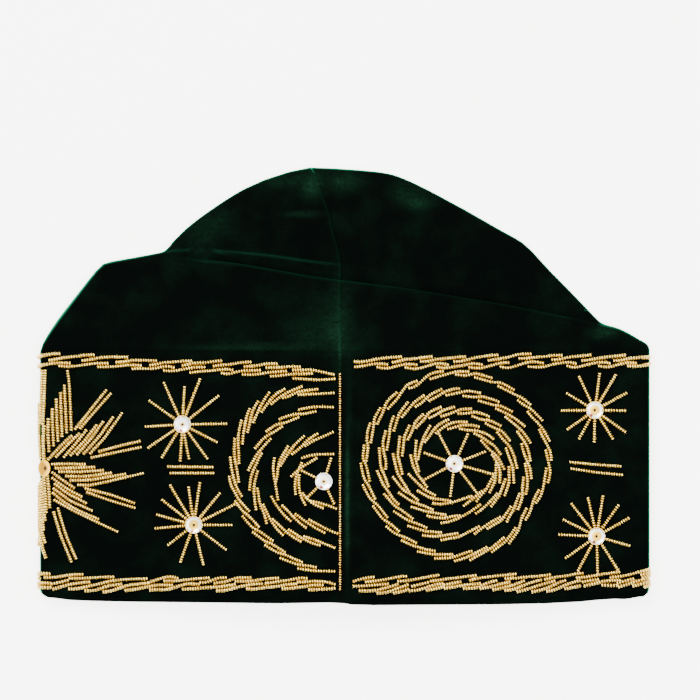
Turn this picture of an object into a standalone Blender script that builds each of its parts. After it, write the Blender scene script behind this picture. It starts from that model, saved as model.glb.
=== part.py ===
"""Beaded velvet hat, folded flat and lying on its back panel.

X runs across the hat, Y from the rim to the crown, and Z up from the surface it lies on. The origin is on that
surface, under the middle of the hat. The cloth is worked out from two height functions, the front and the back of
the flattened hat, which are rounded off towards one outline.
"""

import math

import bmesh
import bpy
from mathutils import Vector

MM = 0.001

# Driving sizes of the flattened hat
HALF_WIDTH = 146.6 * MM
BAND_HEIGHT = 121.0 * MM
CROWN_HEIGHT = 88.9 * MM
BAND_WALL = 2.0 * MM
CROWN_WALL = 1.5 * MM
EDGE_WALL_SHARE = 0.6
FOLD_RADIUS = 3.5 * MM
EDGE_REACH = 4.0 * MM
RIM_BOW = 11.0 * MM
BAND_TOP_BOW = 6.5 * MM
SEAM_GROOVE = 0.4 * MM
SEAM_OFFSET = 1.9 * MM
CLEARANCE = 0.3 * MM

# Sizes of the crown's folds
CROWN_STACK = 5.8 * MM
FOLD_OVERLAP = 11.0 * MM
ROLL_RADIUS = 2.3 * MM
VALLEY_RADIUS = 0.65 * MM
LEAST_TURN = 3.0 * MM
PLEAT_RISE = 1.4 * MM
PLEAT_EDGE = 1.6 * MM
DOME_PUFF = 2.2 * MM
BACK_DROP_LENGTH = 18.0 * MM
BACK_ROW_DIP = 6.0 * MM
TURN_FADE = 0.74
OVERLAP_FADE = 0.45

# Sizes of the bead work and the sequins
BRAID_THICKNESS = 2.0 * MM
TOP_BRAID_WIDTH = 7.4 * MM
BOTTOM_BRAID_WIDTH = 9.0 * MM
RING_BRAID_WIDTH = 3.6 * MM
SEAM_BREAK = 4.4 * MM
ROSETTE_GAP = 0.4 * MM
HALF_ROSETTE_GAP = 2.6 * MM
BACK_ROSETTE_GAP = 1.3 * MM
SEQUIN_RADIUS = 4.3 * MM
SEQUIN_HOLE = 0.6 * MM
SEQUIN_SHEET = 0.45 * MM
SEQUIN_CUP = 0.5 * MM
SEQUIN_FLAT = 2.0 * MM

SEAM_X = -SEAM_OFFSET
HAT_HEIGHT = BAND_HEIGHT + CROWN_HEIGHT
BACK_LIFT = BRAID_THICKNESS + CLEARANCE

# Outline of the crown from the band's top to the peak: share of HALF_WIDTH, share of CROWN_HEIGHT above the band.
LEFT_OUTLINE = (
    (-1.000, 0.000),
    (-0.982, 0.046),
    (-0.975, 0.089),
    (-0.790, 0.487),
    (-0.589, 0.552),
    (-0.527, 0.662),
    (-0.441, 0.771),
    (-0.339, 0.879),
    (-0.263, 0.935),
    (-0.178, 0.977),
)
RIGHT_OUTLINE = (
    (1.000, 0.000),
    (0.993, 0.037),
    (0.892, 0.127),
    (0.842, 0.149),
    (0.602, 0.585),
    (0.190, 0.945),
    (0.151, 0.977),
)
PEAK_OUTLINE = (
    (-0.178, 0.977),
    (-0.112, 1.000),
    (0.020, 1.000),
    (0.151, 0.977),
)
# The points of the two outlines where the deep fold starts.
LEFT_JUNCTION = 4
RIGHT_JUNCTION = 3

# Deep fold, seen from above: share of HALF_WIDTH, share of CROWN_HEIGHT above the band.
DEEP_FOLD = (
    (-0.589, 0.552),
    (-0.497, 0.500),
    (-0.401, 0.494),
    (-0.296, 0.467),
    (-0.194, 0.440),
    (-0.092, 0.407),
    (-0.013, 0.390),
    (0.184, 0.352),
    (0.418, 0.281),
    (0.543, 0.254),
    (0.688, 0.205),
    (0.842, 0.149),
)
# Small pleat above the deep fold. It runs out at the seam, and the rows right of it are the cloth's plain way on.
PLEAT = (
    (-0.570, 0.575),
    (-0.464, 0.557),
    (-0.388, 0.552),
    (-0.310, 0.541),
    (-0.207, 0.522),
    (-0.105, 0.498),
    (-0.013, 0.476),
    (0.418, 0.352),
    (0.815, 0.195),
)
# Crown seam: share of HALF_WIDTH, share of CROWN_HEIGHT above the band.
CROWN_SEAM = (
    (-0.013, 0.000),
    (-0.013, 0.476),
    (-0.020, 0.543),
    (-0.040, 0.668),
    (-0.056, 0.755),
    (-0.079, 0.875),
    (-0.112, 1.000),
)
# Rim of the flattened band: share of HALF_WIDTH, share of BAND_HEIGHT that it is raised.
RIM = (
    (-1.00, 0.048),
    (-0.97, 0.026),
    (-0.93, 0.018),
    (-0.72, 0.006),
    (0.00, 0.002),
    (0.65, 0.000),
    (0.81, 0.012),
    (0.96, 0.026),
    (1.00, 0.060),
)
# Middle lines of the two braids: share of HALF_WIDTH, share of BAND_HEIGHT, on the front and on the back.
TOP_BRAID_FRONT = ((-1.0, 0.966), (-0.5, 0.944), (-0.04, 0.909), (0.03, 0.950), (0.5, 0.963), (1.0, 0.968))
TOP_BRAID_BACK = ((-1.0, 0.966), (0.0, 0.960), (1.0, 0.968))
BOTTOM_BRAID_FRONT = ((-1.0, 0.082), (-0.5, 0.074), (-0.04, 0.069), (0.03, 0.066), (0.5, 0.076), (1.0, 0.104))
BOTTOM_BRAID_BACK = ((-1.0, 0.082), (0.0, 0.066), (1.0, 0.104))

# Places of the sequins: name, face, share of HALF_WIDTH, share of BAND_HEIGHT.
SEQUINS = (
    ("sequin_left_fold", "front", -0.987, 0.535),
    ("sequin_star_upper_left", "front", -0.532, 0.711),
    ("sequin_star_lower_left", "front", -0.494, 0.309),
    ("sequin_half_rosette", "front", -0.067, 0.483),
    ("sequin_rosette", "front", 0.363, 0.553),
    ("sequin_star_upper_right", "front", 0.826, 0.767),
    ("sequin_star_lower_right", "front", 0.832, 0.263),
    ("sequin_back_burst", "back", 0.732, 0.535),
    ("sequin_back_star_upper_right", "back", 0.290, 0.739),
    ("sequin_back_star_lower_right", "back", 0.290, 0.286),
    ("sequin_back_rosette", "back", -0.125, 0.540),
    ("sequin_back_star_upper_left", "back", -0.567, 0.739),
    ("sequin_back_star_lower_left", "back", -0.567, 0.286),
)
# Bead rings round three of them: name stem, face, middle as above, gap to the top braid, and the rings' radii as
# shares of the outermost one's.
RING_SETS = (
    ("rosette_ring", "front", 0.366, 0.547, ROSETTE_GAP, (1.0, 0.802, 0.627, 0.461)),
    ("half_ring", "front", -0.040, 0.483, HALF_ROSETTE_GAP, (1.0, 0.779, 0.545, 0.301)),
    ("back_ring", "back", -0.125, 0.540, BACK_ROSETTE_GAP, (1.0, 0.802, 0.627, 0.461)),
)

# Step over which a slope of the cloth is measured.
SLOPE_STEP = 0.2 * MM

# How far a row's end is pulled to the outline: the pull fades with this power of the share along the row.
WIDE_PULL = 3
TABLE_PULL = 6
NARROW_PULL = 12

# How finely the cloth is divided: columns each side of the seam, columns near an end as shares of EDGE_REACH, and
# the rows of the flap, the turns and the dome.
LEFT_COLUMNS = 10
RIGHT_COLUMNS = 12
EDGE_STEPS = (0.0, 0.15, 0.475, 1.05)
FLAP_ROWS = (0.0, 0.107, 0.38, 0.64, 0.84)
TURN_ROWS = 4
TURN_STEP = 0.8 * MM
DOME_ROWS = (0.36, 0.68, 0.91, 0.975, 1.0)
BAND_ROWS = (0.0, 0.3, 0.65, 1.0)
RING_SIDES = 24
HALF_RING_SIDES = 14
SEQUIN_SIDES = 12


def read_table(rows, x):
    """The table's second column at x, on straight lines between its rows."""
    if x <= rows[0][0]:
        return rows[0][1]
    for (x0, y0), (x1, y1) in zip(rows, rows[1:]):
        if x <= x1:
            return y0 + (y1 - y0) * (x - x0) / (x1 - x0)
    return rows[-1][1]


def smooth_step(low, high, x):
    share = min(1.0, max(0.0, (x - low) / (high - low)))
    return share * share * (3.0 - 2.0 * share)


def crown_points(rows):
    """A table of shares as places on the hat, in metres."""
    return [Vector((x * HALF_WIDTH, BAND_HEIGHT + y * CROWN_HEIGHT, 0.0)) for x, y in rows]


LEFT_POINTS = crown_points(LEFT_OUTLINE)
RIGHT_POINTS = crown_points(RIGHT_OUTLINE)
PEAK_POINTS = crown_points(PEAK_OUTLINE)


def length_to(points, index):
    return sum((b - a).length for a, b in zip(points[:index], points[1 : index + 1]))


def walk(points, length):
    """The place that far along a line of points."""
    for a, b in zip(points, points[1:]):
        step = (b - a).length
        if length <= step:
            return a.lerp(b, length / step)
        length -= step
    return points[-1].copy()


def outline_segments():
    below = Vector((0.0, -2.0 * BAND_HEIGHT, 0.0))
    line = [LEFT_POINTS[0] + below] + LEFT_POINTS + PEAK_POINTS[1:]
    line += RIGHT_POINTS[-2::-1] + [RIGHT_POINTS[0] + below]
    return list(zip(line, line[1:]))


OUTLINE = outline_segments()


def edge_distance(x, y):
    """How far a place is from the outline, seen from above."""
    place = Vector((x, y, 0.0))
    best = HALF_WIDTH
    for a, b in OUTLINE:
        along = b - a
        share = min(1.0, max(0.0, (place - a).dot(along) / along.length_squared))
        best = min(best, (place - a - along * share).length)
    return best


def edge_share(x, y):
    """0 on the outline and 1 from EDGE_REACH inwards, along a quarter circle."""
    inwards = min(1.0, edge_distance(x, y) / EDGE_REACH)
    return math.sqrt(max(0.0, 1.0 - (1.0 - inwards) ** 2))


def back_height(y):
    """Underside of the back panel away from the outline: on the braids, then down to the surface."""
    return BACK_LIFT * (1.0 - smooth_step(BAND_HEIGHT, BAND_HEIGHT + BACK_DROP_LENGTH, y))


def edge_height(y):
    """Height of the outline, halfway up the folded edge."""
    share = smooth_step(BAND_HEIGHT, BAND_HEIGHT + BACK_DROP_LENGTH, y)
    return (BACK_LIFT + FOLD_RADIUS) * (1.0 - share) + CROWN_STACK / 2.0 * share


def bow(x):
    return 0.5 * (1.0 + math.cos(math.pi * min(1.0, abs(x) / HALF_WIDTH)))


def band_front_height(x, y):
    share = min(1.0, y / BAND_HEIGHT)
    rise = RIM_BOW + (BAND_TOP_BOW - RIM_BOW) * share
    return BACK_LIFT + 2.0 * FOLD_RADIUS + rise * bow(x)


def rounded(x, y, height):
    """A height that runs down, or up, to the outline's height near the outline."""
    middle = edge_height(y)
    return middle + (height - middle) * edge_share(x, y)


def seam_x(y):
    share = max(0.0, (y - BAND_HEIGHT) / CROWN_HEIGHT)
    rows = [(row[1], row[0]) for row in CROWN_SEAM]
    return SEAM_X + (read_table(rows, share) - rows[0][1]) * HALF_WIDTH


def column_shares(left_length, right_length):
    """Places along a row from its left end through the seam to its right end: (-1 to 0 to 1)."""
    shares = []
    for step in EDGE_STEPS[:-1]:
        shares.append(-1.0 + step * EDGE_REACH / left_length)
    start = EDGE_STEPS[-1] * EDGE_REACH / left_length
    for i in range(LEFT_COLUMNS + 1):
        shares.append(-(1.0 - start) * (1.0 - i / LEFT_COLUMNS))
    start = EDGE_STEPS[-1] * EDGE_REACH / right_length
    for i in range(1, RIGHT_COLUMNS + 1):
        shares.append((1.0 - start) * i / RIGHT_COLUMNS)
    for step in reversed(EDGE_STEPS[:-1]):
        shares.append(1.0 - step * EDGE_REACH / right_length)
    return shares


def between(table, left_end, right_end, share):
    """A place on a line that a table gives across the crown, at -1 to 1 along it."""
    seam_place = read_seam(table)
    end = left_end if share < 0.0 else right_end
    x = seam_place.x + (end.x - seam_place.x) * abs(share)
    y = BAND_HEIGHT + read_table(table, x / HALF_WIDTH) * CROWN_HEIGHT
    y_end = BAND_HEIGHT + read_table(table, end.x / HALF_WIDTH) * CROWN_HEIGHT
    return Vector((x, y + (end.y - y_end) * abs(share) ** TABLE_PULL, 0.0))


def read_seam(table):
    """Where a line across the crown meets the seam."""
    y = BAND_HEIGHT + read_table(table, SEAM_X / HALF_WIDTH) * CROWN_HEIGHT
    return Vector((seam_x(y), y, 0.0))


def patch(low, high, share_up, left_end, right_end, share):
    """A place between two lines across the crown, pulled so that its row ends on the outline."""
    place = low(share).lerp(high(share), share_up)
    end, sign = (left_end, -1.0) if share < 0.0 else (right_end, 1.0)
    plain = low(sign).lerp(high(sign), share_up)
    return place + (end - plain) * abs(share) ** WIDE_PULL


def turn_angle(share):
    """How far the cloth turns over at the deep fold: half a turn, running out towards the outline."""
    return math.pi * (1.0 - smooth_step(TURN_FADE, 1.0, abs(share)))


def turn_overlap(share):
    return FOLD_OVERLAP * (1.0 - smooth_step(OVERLAP_FADE, TURN_FADE, abs(share)))


def turn_path(share):
    """Steps (along Y, along Z) of the cloth through the roll, back under it and out of the valley."""
    angle = turn_angle(share)
    roll = max(ROLL_RADIUS * angle, LEAST_TURN) / TURN_ROWS
    valley = max(VALLEY_RADIUS * angle, LEAST_TURN) / TURN_ROWS
    place = Vector((0.0, 0.0))
    places = [place.copy()]
    for i in range(TURN_ROWS):
        heading = angle * (i + 0.5) / TURN_ROWS
        place += Vector((math.cos(heading), -math.sin(heading))) * roll
        places.append(place.copy())
    place += Vector((math.cos(angle), -math.sin(angle))) * turn_overlap(share)
    places.append(place.copy())
    for i in range(TURN_ROWS):
        heading = angle * (1.0 - (i + 0.5) / TURN_ROWS)
        place += Vector((math.cos(heading), -math.sin(heading))) * valley
        places.append(place.copy())
    reach = ROLL_RADIUS * math.sin(min(angle, math.pi / 2.0))
    return [(step.x - reach, step.y) for step in places]


def dome_height(place, share, up):
    """Top of the crown's upper part, away from the outline."""
    puff = DOME_PUFF * math.sin(math.pi * min(1.0, up)) * (1.0 - share * share)
    return CROWN_STACK + puff


def crown_rows():
    """Rows of the crown's outside: for each, the front's places, the back's, in metres."""
    left_fold = length_to(LEFT_POINTS, LEFT_JUNCTION)
    right_fold = length_to(RIGHT_POINTS, RIGHT_JUNCTION)
    left_all = length_to(LEFT_POINTS, len(LEFT_POINTS) - 1)
    right_all = length_to(RIGHT_POINTS, len(RIGHT_POINTS) - 1)
    bottom = BAND_HEIGHT + CLEARANCE / 2.0

    def band_line(share):
        end = -HALF_WIDTH if share < 0.0 else HALF_WIDTH
        return Vector((SEAM_X + (end - SEAM_X) * abs(share), bottom, 0.0))

    def fold_line(share):
        place = between(DEEP_FOLD, LEFT_POINTS[LEFT_JUNCTION], RIGHT_POINTS[RIGHT_JUNCTION], share)
        return place + Vector((0.0, turn_path(share)[0][0], 0.0))

    def peak_line(share):
        seam_place = PEAK_POINTS[1]
        if share < 0.0:
            return seam_place.lerp(PEAK_POINTS[0], -share)
        return walk(PEAK_POINTS[1:], share * length_to(PEAK_POINTS[1:], len(PEAK_POINTS) - 2))

    rows = []

    def add_row(left_length, right_length, front_place, front_height, dip, bulge=0.0):
        left_end, right_end = walk(LEFT_POINTS, left_length), walk(RIGHT_POINTS, right_length)
        shares = column_shares((left_end - front_place(0.0)).length, (right_end - front_place(0.0)).length)
        front, back = [], []
        for share in shares:
            place = front_place(share)
            if abs(share) == 1.0:
                place = left_end if share < 0.0 else right_end
            height = rounded(place.x, place.y, front_height(place, share))
            front.append(Vector((place.x, place.y, height)))
            along = (place.x - left_end.x) / (right_end.x - left_end.x)
            under = left_end.lerp(right_end, along)
            under.y += bulge * (peak_line(share).y - PEAK_POINTS[0].y)
            under.y -= dip * BACK_ROW_DIP * 4.0 * along * (1.0 - along)
            back.append(Vector((under.x, under.y, rounded(under.x, under.y, back_height(under.y)))))
        back[0], back[-1] = front[0], front[-1]
        rows.append((front, back))

    def flap_height(share_up):
        def height(place, share):
            low_place = band_line(share)
            low = band_front_height(low_place.x, BAND_HEIGHT)
            high = CROWN_STACK - turn_path(share)[-1][1]
            return low + (high - low) * share_up

        return height

    for share_up in FLAP_ROWS:
        left_length, right_length = left_fold * share_up, right_fold * share_up
        left_end, right_end = walk(LEFT_POINTS, left_length), walk(RIGHT_POINTS, right_length)
        add_row(
            left_length,
            right_length,
            lambda share: patch(band_line, fold_line, share_up, left_end, right_end, share),
            flap_height(share_up),
            dip=share_up,
        )

    steps = len(turn_path(0.0))
    for step in range(steps):
        left_length, right_length = left_fold + step * TURN_STEP, right_fold + step * TURN_STEP
        left_end, right_end = walk(LEFT_POINTS, left_length), walk(RIGHT_POINTS, right_length)

        def turned(share):
            path = turn_path(share)
            place = fold_line(share) + Vector((0.0, path[step][0] - path[0][0], 0.0))
            end, sign = (left_end, -1.0) if share < 0.0 else (right_end, 1.0)
            path_end = turn_path(sign)
            plain = fold_line(sign) + Vector((0.0, path_end[step][0] - path_end[0][0], 0.0))
            return place + (end - plain) * abs(share) ** NARROW_PULL

        def turned_height(place, share):
            path = turn_path(share)
            return CROWN_STACK + path[step][1] - path[-1][1]

        add_row(left_length, right_length, turned, turned_height, dip=1.0)

    turned_left, turned_right = left_fold + steps * TURN_STEP, right_fold + steps * TURN_STEP
    for before, rise in ((0.0, PLEAT_RISE), (PLEAT_EDGE, 0.0)):
        left_length, right_length = turned_left + before, turned_right + before
        left_end, right_end = walk(LEFT_POINTS, left_length), walk(RIGHT_POINTS, right_length)

        def pleat_place(share):
            shift = Vector((0.0, before, 0.0)) * (1.0 - abs(share) ** TABLE_PULL)
            return between(PLEAT, left_end, right_end, share) + shift

        def pleat_height(place, share):
            left_of_seam = 1.0 if share < 0.0 else 0.0
            return CROWN_STACK + rise * left_of_seam * (1.0 - abs(share) ** 4)

        add_row(left_length, right_length, pleat_place, pleat_height, dip=1.0)

    low_left, low_right = turned_left + PLEAT_EDGE, turned_right + PLEAT_EDGE
    low_line = [walk(LEFT_POINTS, low_left), walk(RIGHT_POINTS, low_right)]
    for share_up in DOME_ROWS:
        left_length = low_left + (left_all - low_left) * share_up
        right_length = low_right + (right_all - low_right) * share_up
        left_end, right_end = walk(LEFT_POINTS, left_length), walk(RIGHT_POINTS, right_length)

        def low(share):
            return between(PLEAT, low_line[0], low_line[1], share)

        def dome_place(share):
            place = patch(low, peak_line, share_up, left_end, right_end, share)
            place.x += (seam_x(place.y) - low(0.0).lerp(peak_line(0.0), share_up).x) * (1.0 - abs(share)) ** 2
            return place

        add_row(
            left_length,
            right_length,
            dome_place,
            lambda place, share: dome_height(place, share, share_up),
            dip=1.0 - share_up,
            bulge=share_up**2,
        )
    return rows


def band_rows():
    """Rows of the side band's outside, from the rim to its top."""
    left_length, right_length = HALF_WIDTH + SEAM_X, HALF_WIDTH - SEAM_X
    rows = []
    for share_up in BAND_ROWS:
        front, back = [], []
        for share in column_shares(left_length, right_length):
            x = SEAM_X + (left_length if share < 0.0 else right_length) * share
            rim = read_table(RIM, x / HALF_WIDTH) * BAND_HEIGHT
            y = rim + (BAND_HEIGHT - CLEARANCE / 2.0 - rim) * share_up
            height = band_front_height(x, y) - (SEAM_GROOVE if share == 0.0 else 0.0)
            front.append(Vector((x, y, rounded(x, y, height))))
            back.append(Vector((x, y, rounded(x, y, back_height(y)))))
        back[0], back[-1] = front[0], front[-1]
        rows.append((front, back))
    return rows


def material(name, colour, roughness, metallic=0.0):
    made = bpy.data.materials.new(name)
    made.use_nodes = True
    shader = made.node_tree.nodes["Principled BSDF"]
    shader.inputs["Base Color"].default_value = (*colour, 1.0)
    shader.inputs["Roughness"].default_value = roughness
    shader.inputs["Metallic"].default_value = metallic
    made.diffuse_color = (*colour, 1.0)
    return made


def place_object(name, mesh, finish, hat, sharp_degrees=50.0):
    mesh.materials.append(finish)
    mesh.shade_smooth()
    mesh.set_sharp_from_angle(angle=math.radians(sharp_degrees))
    made = bpy.data.objects.new(name, mesh)
    bpy.context.scene.collection.objects.link(made)
    made.parent = hat
    return made


def cloth_shell(name, rows, wall, closed_top):
    """A closed wall from rows of front and back places. The last row is sewn shut where closed_top is set."""
    outside = bmesh.new()
    loops = []
    for index, (front, back) in enumerate(rows):
        top = [outside.verts.new(place) for place in front]
        if closed_top and index == len(rows) - 1:
            under = list(top)
        else:
            under = [top[0]] + [outside.verts.new(place) for place in back[1:-1]] + [top[-1]]
        loops.append(top[:-1] + under[:0:-1])
    for lower, upper in zip(loops, loops[1:]):
        for i in range(len(lower)):
            j = (i + 1) % len(lower)
            corners = []
            for vert in (lower[i], lower[j], upper[j], upper[i]):
                if vert not in corners:
                    corners.append(vert)
            outside.faces.new(corners)
    outside.normal_update()
    inner = {}
    ends = set(loops[0]) if closed_top else set(loops[0]) | set(loops[-1])
    for vert in list(outside.verts):
        thinning = EDGE_WALL_SHARE + (1.0 - EDGE_WALL_SHARE) * edge_share(vert.co.x, vert.co.y)
        place = vert.co - vert.normal * wall * thinning
        if vert in ends:
            place.y = vert.co.y
        inner[vert] = outside.verts.new(place)
    for face in list(outside.faces):
        outside.faces.new([inner[vert] for vert in reversed(face.verts)])
    for loop, forward in ((loops[0], True),) + (((loops[-1], False),) if not closed_top else ()):
        for i in range(len(loop)):
            a, b = loop[i], loop[(i + 1) % len(loop)]
            quad = (b, a, inner[a], inner[b]) if forward else (a, b, inner[b], inner[a])
            outside.faces.new(quad)
    mesh = bpy.data.meshes.new(name)
    outside.to_mesh(mesh)
    outside.free()
    return mesh


def swept_strip(name, stations, closed):
    """A strip with four long sides from (four corners) at each station along it."""
    strip = bmesh.new()
    sections = [[strip.verts.new(corner) for corner in corners] for corners in stations]
    pairs = list(zip(sections, sections[1:]))
    if closed:
        pairs.append((sections[-1], sections[0]))
    for a, b in pairs:
        for i in range(4):
            j = (i + 1) % 4
            strip.faces.new((a[i], a[j], b[j], b[i]))
    if not closed:
        strip.faces.new(sections[0][::-1])
        strip.faces.new(sections[-1])
    bmesh.ops.recalc_face_normals(strip, faces=strip.faces)
    mesh = bpy.data.meshes.new(name)
    strip.to_mesh(mesh)
    strip.free()
    return mesh


def band_place(face, x, y):
    """A place on the band's outside, and the way out of the cloth there."""

    def height(px, py):
        raw = band_front_height(px, py) if face == "front" else back_height(py)
        return rounded(px, py, raw)

    low, high = max(-HALF_WIDTH, x - SLOPE_STEP), min(HALF_WIDTH, x + SLOPE_STEP)
    along_x = Vector((high - low, 0.0, height(high, y) - height(low, y)))
    along_y = Vector((0.0, 2.0 * SLOPE_STEP, height(x, y + SLOPE_STEP) - height(x, y - SLOPE_STEP)))
    out = along_x.cross(along_y).normalized()
    if face == "back":
        out = -out
    return Vector((x, y, height(x, y))), out


def braid_mesh(name, front_table, back_table, width):
    """The braid from the seam's right side, round the right fold, along the back and round the left fold."""
    line = []
    xs = [SEAM_X + (HALF_WIDTH - SEAM_X) * share for share in column_shares(HALF_WIDTH, HALF_WIDTH) if share > 0.0]
    right = [x for x in xs if x > SEAM_X + 2.0 * SEAM_BREAK]
    for x in [SEAM_X + SEAM_BREAK] + right:
        line.append(("front", x))
    for x in reversed(right[:-1]):
        line.append(("back", x))
    lefts = [-x for x in right]
    line.append(("back", 0.0))
    for x in lefts[:-1]:
        line.append(("back", x))
    for x in reversed(lefts):
        line.append(("front", x))
    line.append(("front", SEAM_X - SEAM_BREAK))
    stations = []
    for face, x in line:
        table = front_table if face == "front" else back_table
        y = read_table(table, x / HALF_WIDTH) * BAND_HEIGHT
        place, out = band_place(face, x, y)
        if abs(x) >= HALF_WIDTH:
            out = Vector((math.copysign(1.0, x), 0.0, 0.0))
        out = Vector((out.x, 0.0, out.z)).normalized()
        corners = []
        for lift, side in ((0, -1), (0, 1), (1, 1), (1, -1)):
            shift = out * (CLEARANCE + lift * BRAID_THICKNESS)
            level = surface_at(face, x, y + side * width / 2.0)
            corners.append(Vector((place.x, y + side * width / 2.0, level)) + shift)
        stations.append(corners)
    return swept_strip(name, stations, closed=False)


def surface_at(face, x, y):
    raw = band_front_height(x, y) if face == "front" else back_height(y)
    return rounded(x, y, raw)


def outermost_radius(face, x, y, gap):
    """Radius of the largest ring that stays this far below the top braid."""
    table = TOP_BRAID_FRONT if face == "front" else TOP_BRAID_BACK
    braid_edge = read_table(table, x) * BAND_HEIGHT - TOP_BRAID_WIDTH / 2.0
    return braid_edge - y * BAND_HEIGHT - RING_BRAID_WIDTH / 2.0 - gap


def ring_mesh(name, face, middle_x, middle_y, radius):
    """A bead ring that lies on the band. One that would cross the seam ends beside it."""
    limit = SEAM_X - SEAM_BREAK / 2.0
    cut = face == "front" and middle_x < 0.0 < middle_x + radius
    if cut:
        opening = math.acos(max(-1.0, min(1.0, (limit - middle_x) / radius)))
        sweep = 2.0 * (math.pi - opening)
        angles = [opening + sweep * i / HALF_RING_SIDES for i in range(HALF_RING_SIDES + 1)]
    else:
        angles = [2.0 * math.pi * i / RING_SIDES for i in range(RING_SIDES)]
    stations = []
    for angle in angles:
        corners = []
        for lift, side in ((0, -1), (0, 1), (1, 1), (1, -1)):
            reach = radius + side * RING_BRAID_WIDTH / 2.0
            x = middle_x + reach * math.cos(angle)
            y = middle_y + reach * math.sin(angle)
            place, out = band_place(face, x, y)
            corners.append(place + out * (CLEARANCE + lift * BRAID_THICKNESS))
        stations.append(corners)
    return swept_strip(name, stations, closed=not cut)


def sequin_mesh(name, face, x, y):
    """A round cupped sequin with a hole, lying on the band."""
    place, out = band_place(face, x, y)
    turn = Vector((0.0, 0.0, 1.0)).rotation_difference(out)
    profile = (
        (SEQUIN_HOLE, 0.0),
        (SEQUIN_FLAT, 0.0),
        (SEQUIN_RADIUS, SEQUIN_CUP),
        (SEQUIN_RADIUS, SEQUIN_CUP + SEQUIN_SHEET),
        (SEQUIN_FLAT, SEQUIN_SHEET),
        (SEQUIN_HOLE, SEQUIN_SHEET),
    )
    disc = bmesh.new()
    rings = []
    for radius, height in profile:
        ring = []
        for i in range(SEQUIN_SIDES):
            angle = 2.0 * math.pi * i / SEQUIN_SIDES
            spot = Vector((radius * math.cos(angle), radius * math.sin(angle), height + CLEARANCE))
            ring.append(disc.verts.new(place + turn @ spot))
        rings.append(ring)
    for lower, upper in zip(rings, rings[1:] + rings[:1]):
        for i in range(SEQUIN_SIDES):
            j = (i + 1) % SEQUIN_SIDES
            disc.faces.new((lower[i], lower[j], upper[j], upper[i]))
    bmesh.ops.recalc_face_normals(disc, faces=disc.faces)
    mesh = bpy.data.meshes.new(name)
    disc.to_mesh(mesh)
    disc.free()
    return mesh


def main():
    for old in list(bpy.data.objects):
        bpy.data.objects.remove(old)
    velvet = material("velvet", (0.004, 0.016, 0.010), 0.9)
    beads = material("bead_braid", (0.58, 0.47, 0.25), 0.35, 0.8)
    sequin = material("sequin", (0.85, 0.82, 0.72), 0.2)
    hat = bpy.data.objects.new("hat", None)
    hat.location = (0.0, -HAT_HEIGHT / 2.0, 0.0)
    bpy.context.scene.collection.objects.link(hat)
    place_object("side_band", cloth_shell("side_band", band_rows(), BAND_WALL, False), velvet, hat)
    place_object("crown", cloth_shell("crown", crown_rows(), CROWN_WALL, True), velvet, hat)
    top = braid_mesh("top_border", TOP_BRAID_FRONT, TOP_BRAID_BACK, TOP_BRAID_WIDTH)
    place_object("top_border", top, beads, hat)
    bottom = braid_mesh("bottom_border", BOTTOM_BRAID_FRONT, BOTTOM_BRAID_BACK, BOTTOM_BRAID_WIDTH)
    place_object("bottom_border", bottom, beads, hat)
    for stem, face, x, y, gap, radius_shares in RING_SETS:
        outermost = outermost_radius(face, x, y, gap)
        for number, radius_share in enumerate(radius_shares, start=1):
            name = f"{stem}_{number}"
            mesh = ring_mesh(name, face, x * HALF_WIDTH, y * BAND_HEIGHT, outermost * radius_share)
            place_object(name, mesh, beads, hat)
    for name, face, x, y in SEQUINS:
        place_object(name, sequin_mesh(name, face, x * HALF_WIDTH, y * BAND_HEIGHT), sequin, hat)


main()
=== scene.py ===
# %% [markdown]
# # A beaded velvet hat, folded flat
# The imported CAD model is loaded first, as a fixed frame. Every piece below is made in that same frame, in
# metres, so nothing has to be fitted later. The hat lies on its back panel: X runs across it, Y from the
# rim to the crown and Z up from the table.

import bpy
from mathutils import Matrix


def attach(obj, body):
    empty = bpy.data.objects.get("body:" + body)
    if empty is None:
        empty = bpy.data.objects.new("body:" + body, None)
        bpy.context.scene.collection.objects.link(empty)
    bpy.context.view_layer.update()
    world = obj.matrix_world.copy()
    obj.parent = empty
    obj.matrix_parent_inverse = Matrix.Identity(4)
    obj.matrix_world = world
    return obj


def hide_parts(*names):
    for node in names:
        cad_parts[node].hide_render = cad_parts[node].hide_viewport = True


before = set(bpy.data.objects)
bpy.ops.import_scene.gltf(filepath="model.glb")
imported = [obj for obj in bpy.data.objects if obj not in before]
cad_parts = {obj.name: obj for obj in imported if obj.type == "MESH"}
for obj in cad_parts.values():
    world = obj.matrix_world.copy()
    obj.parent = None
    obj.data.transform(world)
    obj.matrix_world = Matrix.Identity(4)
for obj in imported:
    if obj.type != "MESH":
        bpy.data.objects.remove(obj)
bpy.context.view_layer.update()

# %% Tools of this lesson
import math
import random

import bmesh
import bpy
import numpy as np
from mathutils import Vector, noise

MM = 0.001
HAT_HEIGHT = 209.9 * MM
HALF_WIDTH = 146.6 * MM
WALL_HEIGHT = 121.0 * MM

# %% [markdown]
# ## Reading places off the photograph
# The photograph looks straight down, so one scale turns its pixels into places on the hat. A pixel is
# 0.4836 mm, because a hat for a head of 58 cm is about 293 mm wide when it is folded flat. Heights above
# the rim are easier to think in than row coordinates, so every shape is made with Y from the rim, and
# moved to the row frame at the end.

# %% From a pixel to a place on the hat
PIXEL = 0.4836 * MM
MIDDLE_COLUMN = 344.0
RIM_ROW = 602.0


def from_photo(column, row):
    return (column - MIDDLE_COLUMN) * PIXEL, (RIM_ROW - row) * PIXEL


def photo_line(*pixels):
    return [from_photo(column, row) for column, row in pixels]


print("The sequin of the rosette is at", [round(c * 1000, 1) for c in from_photo(454, 463.6)], "mm")

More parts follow.
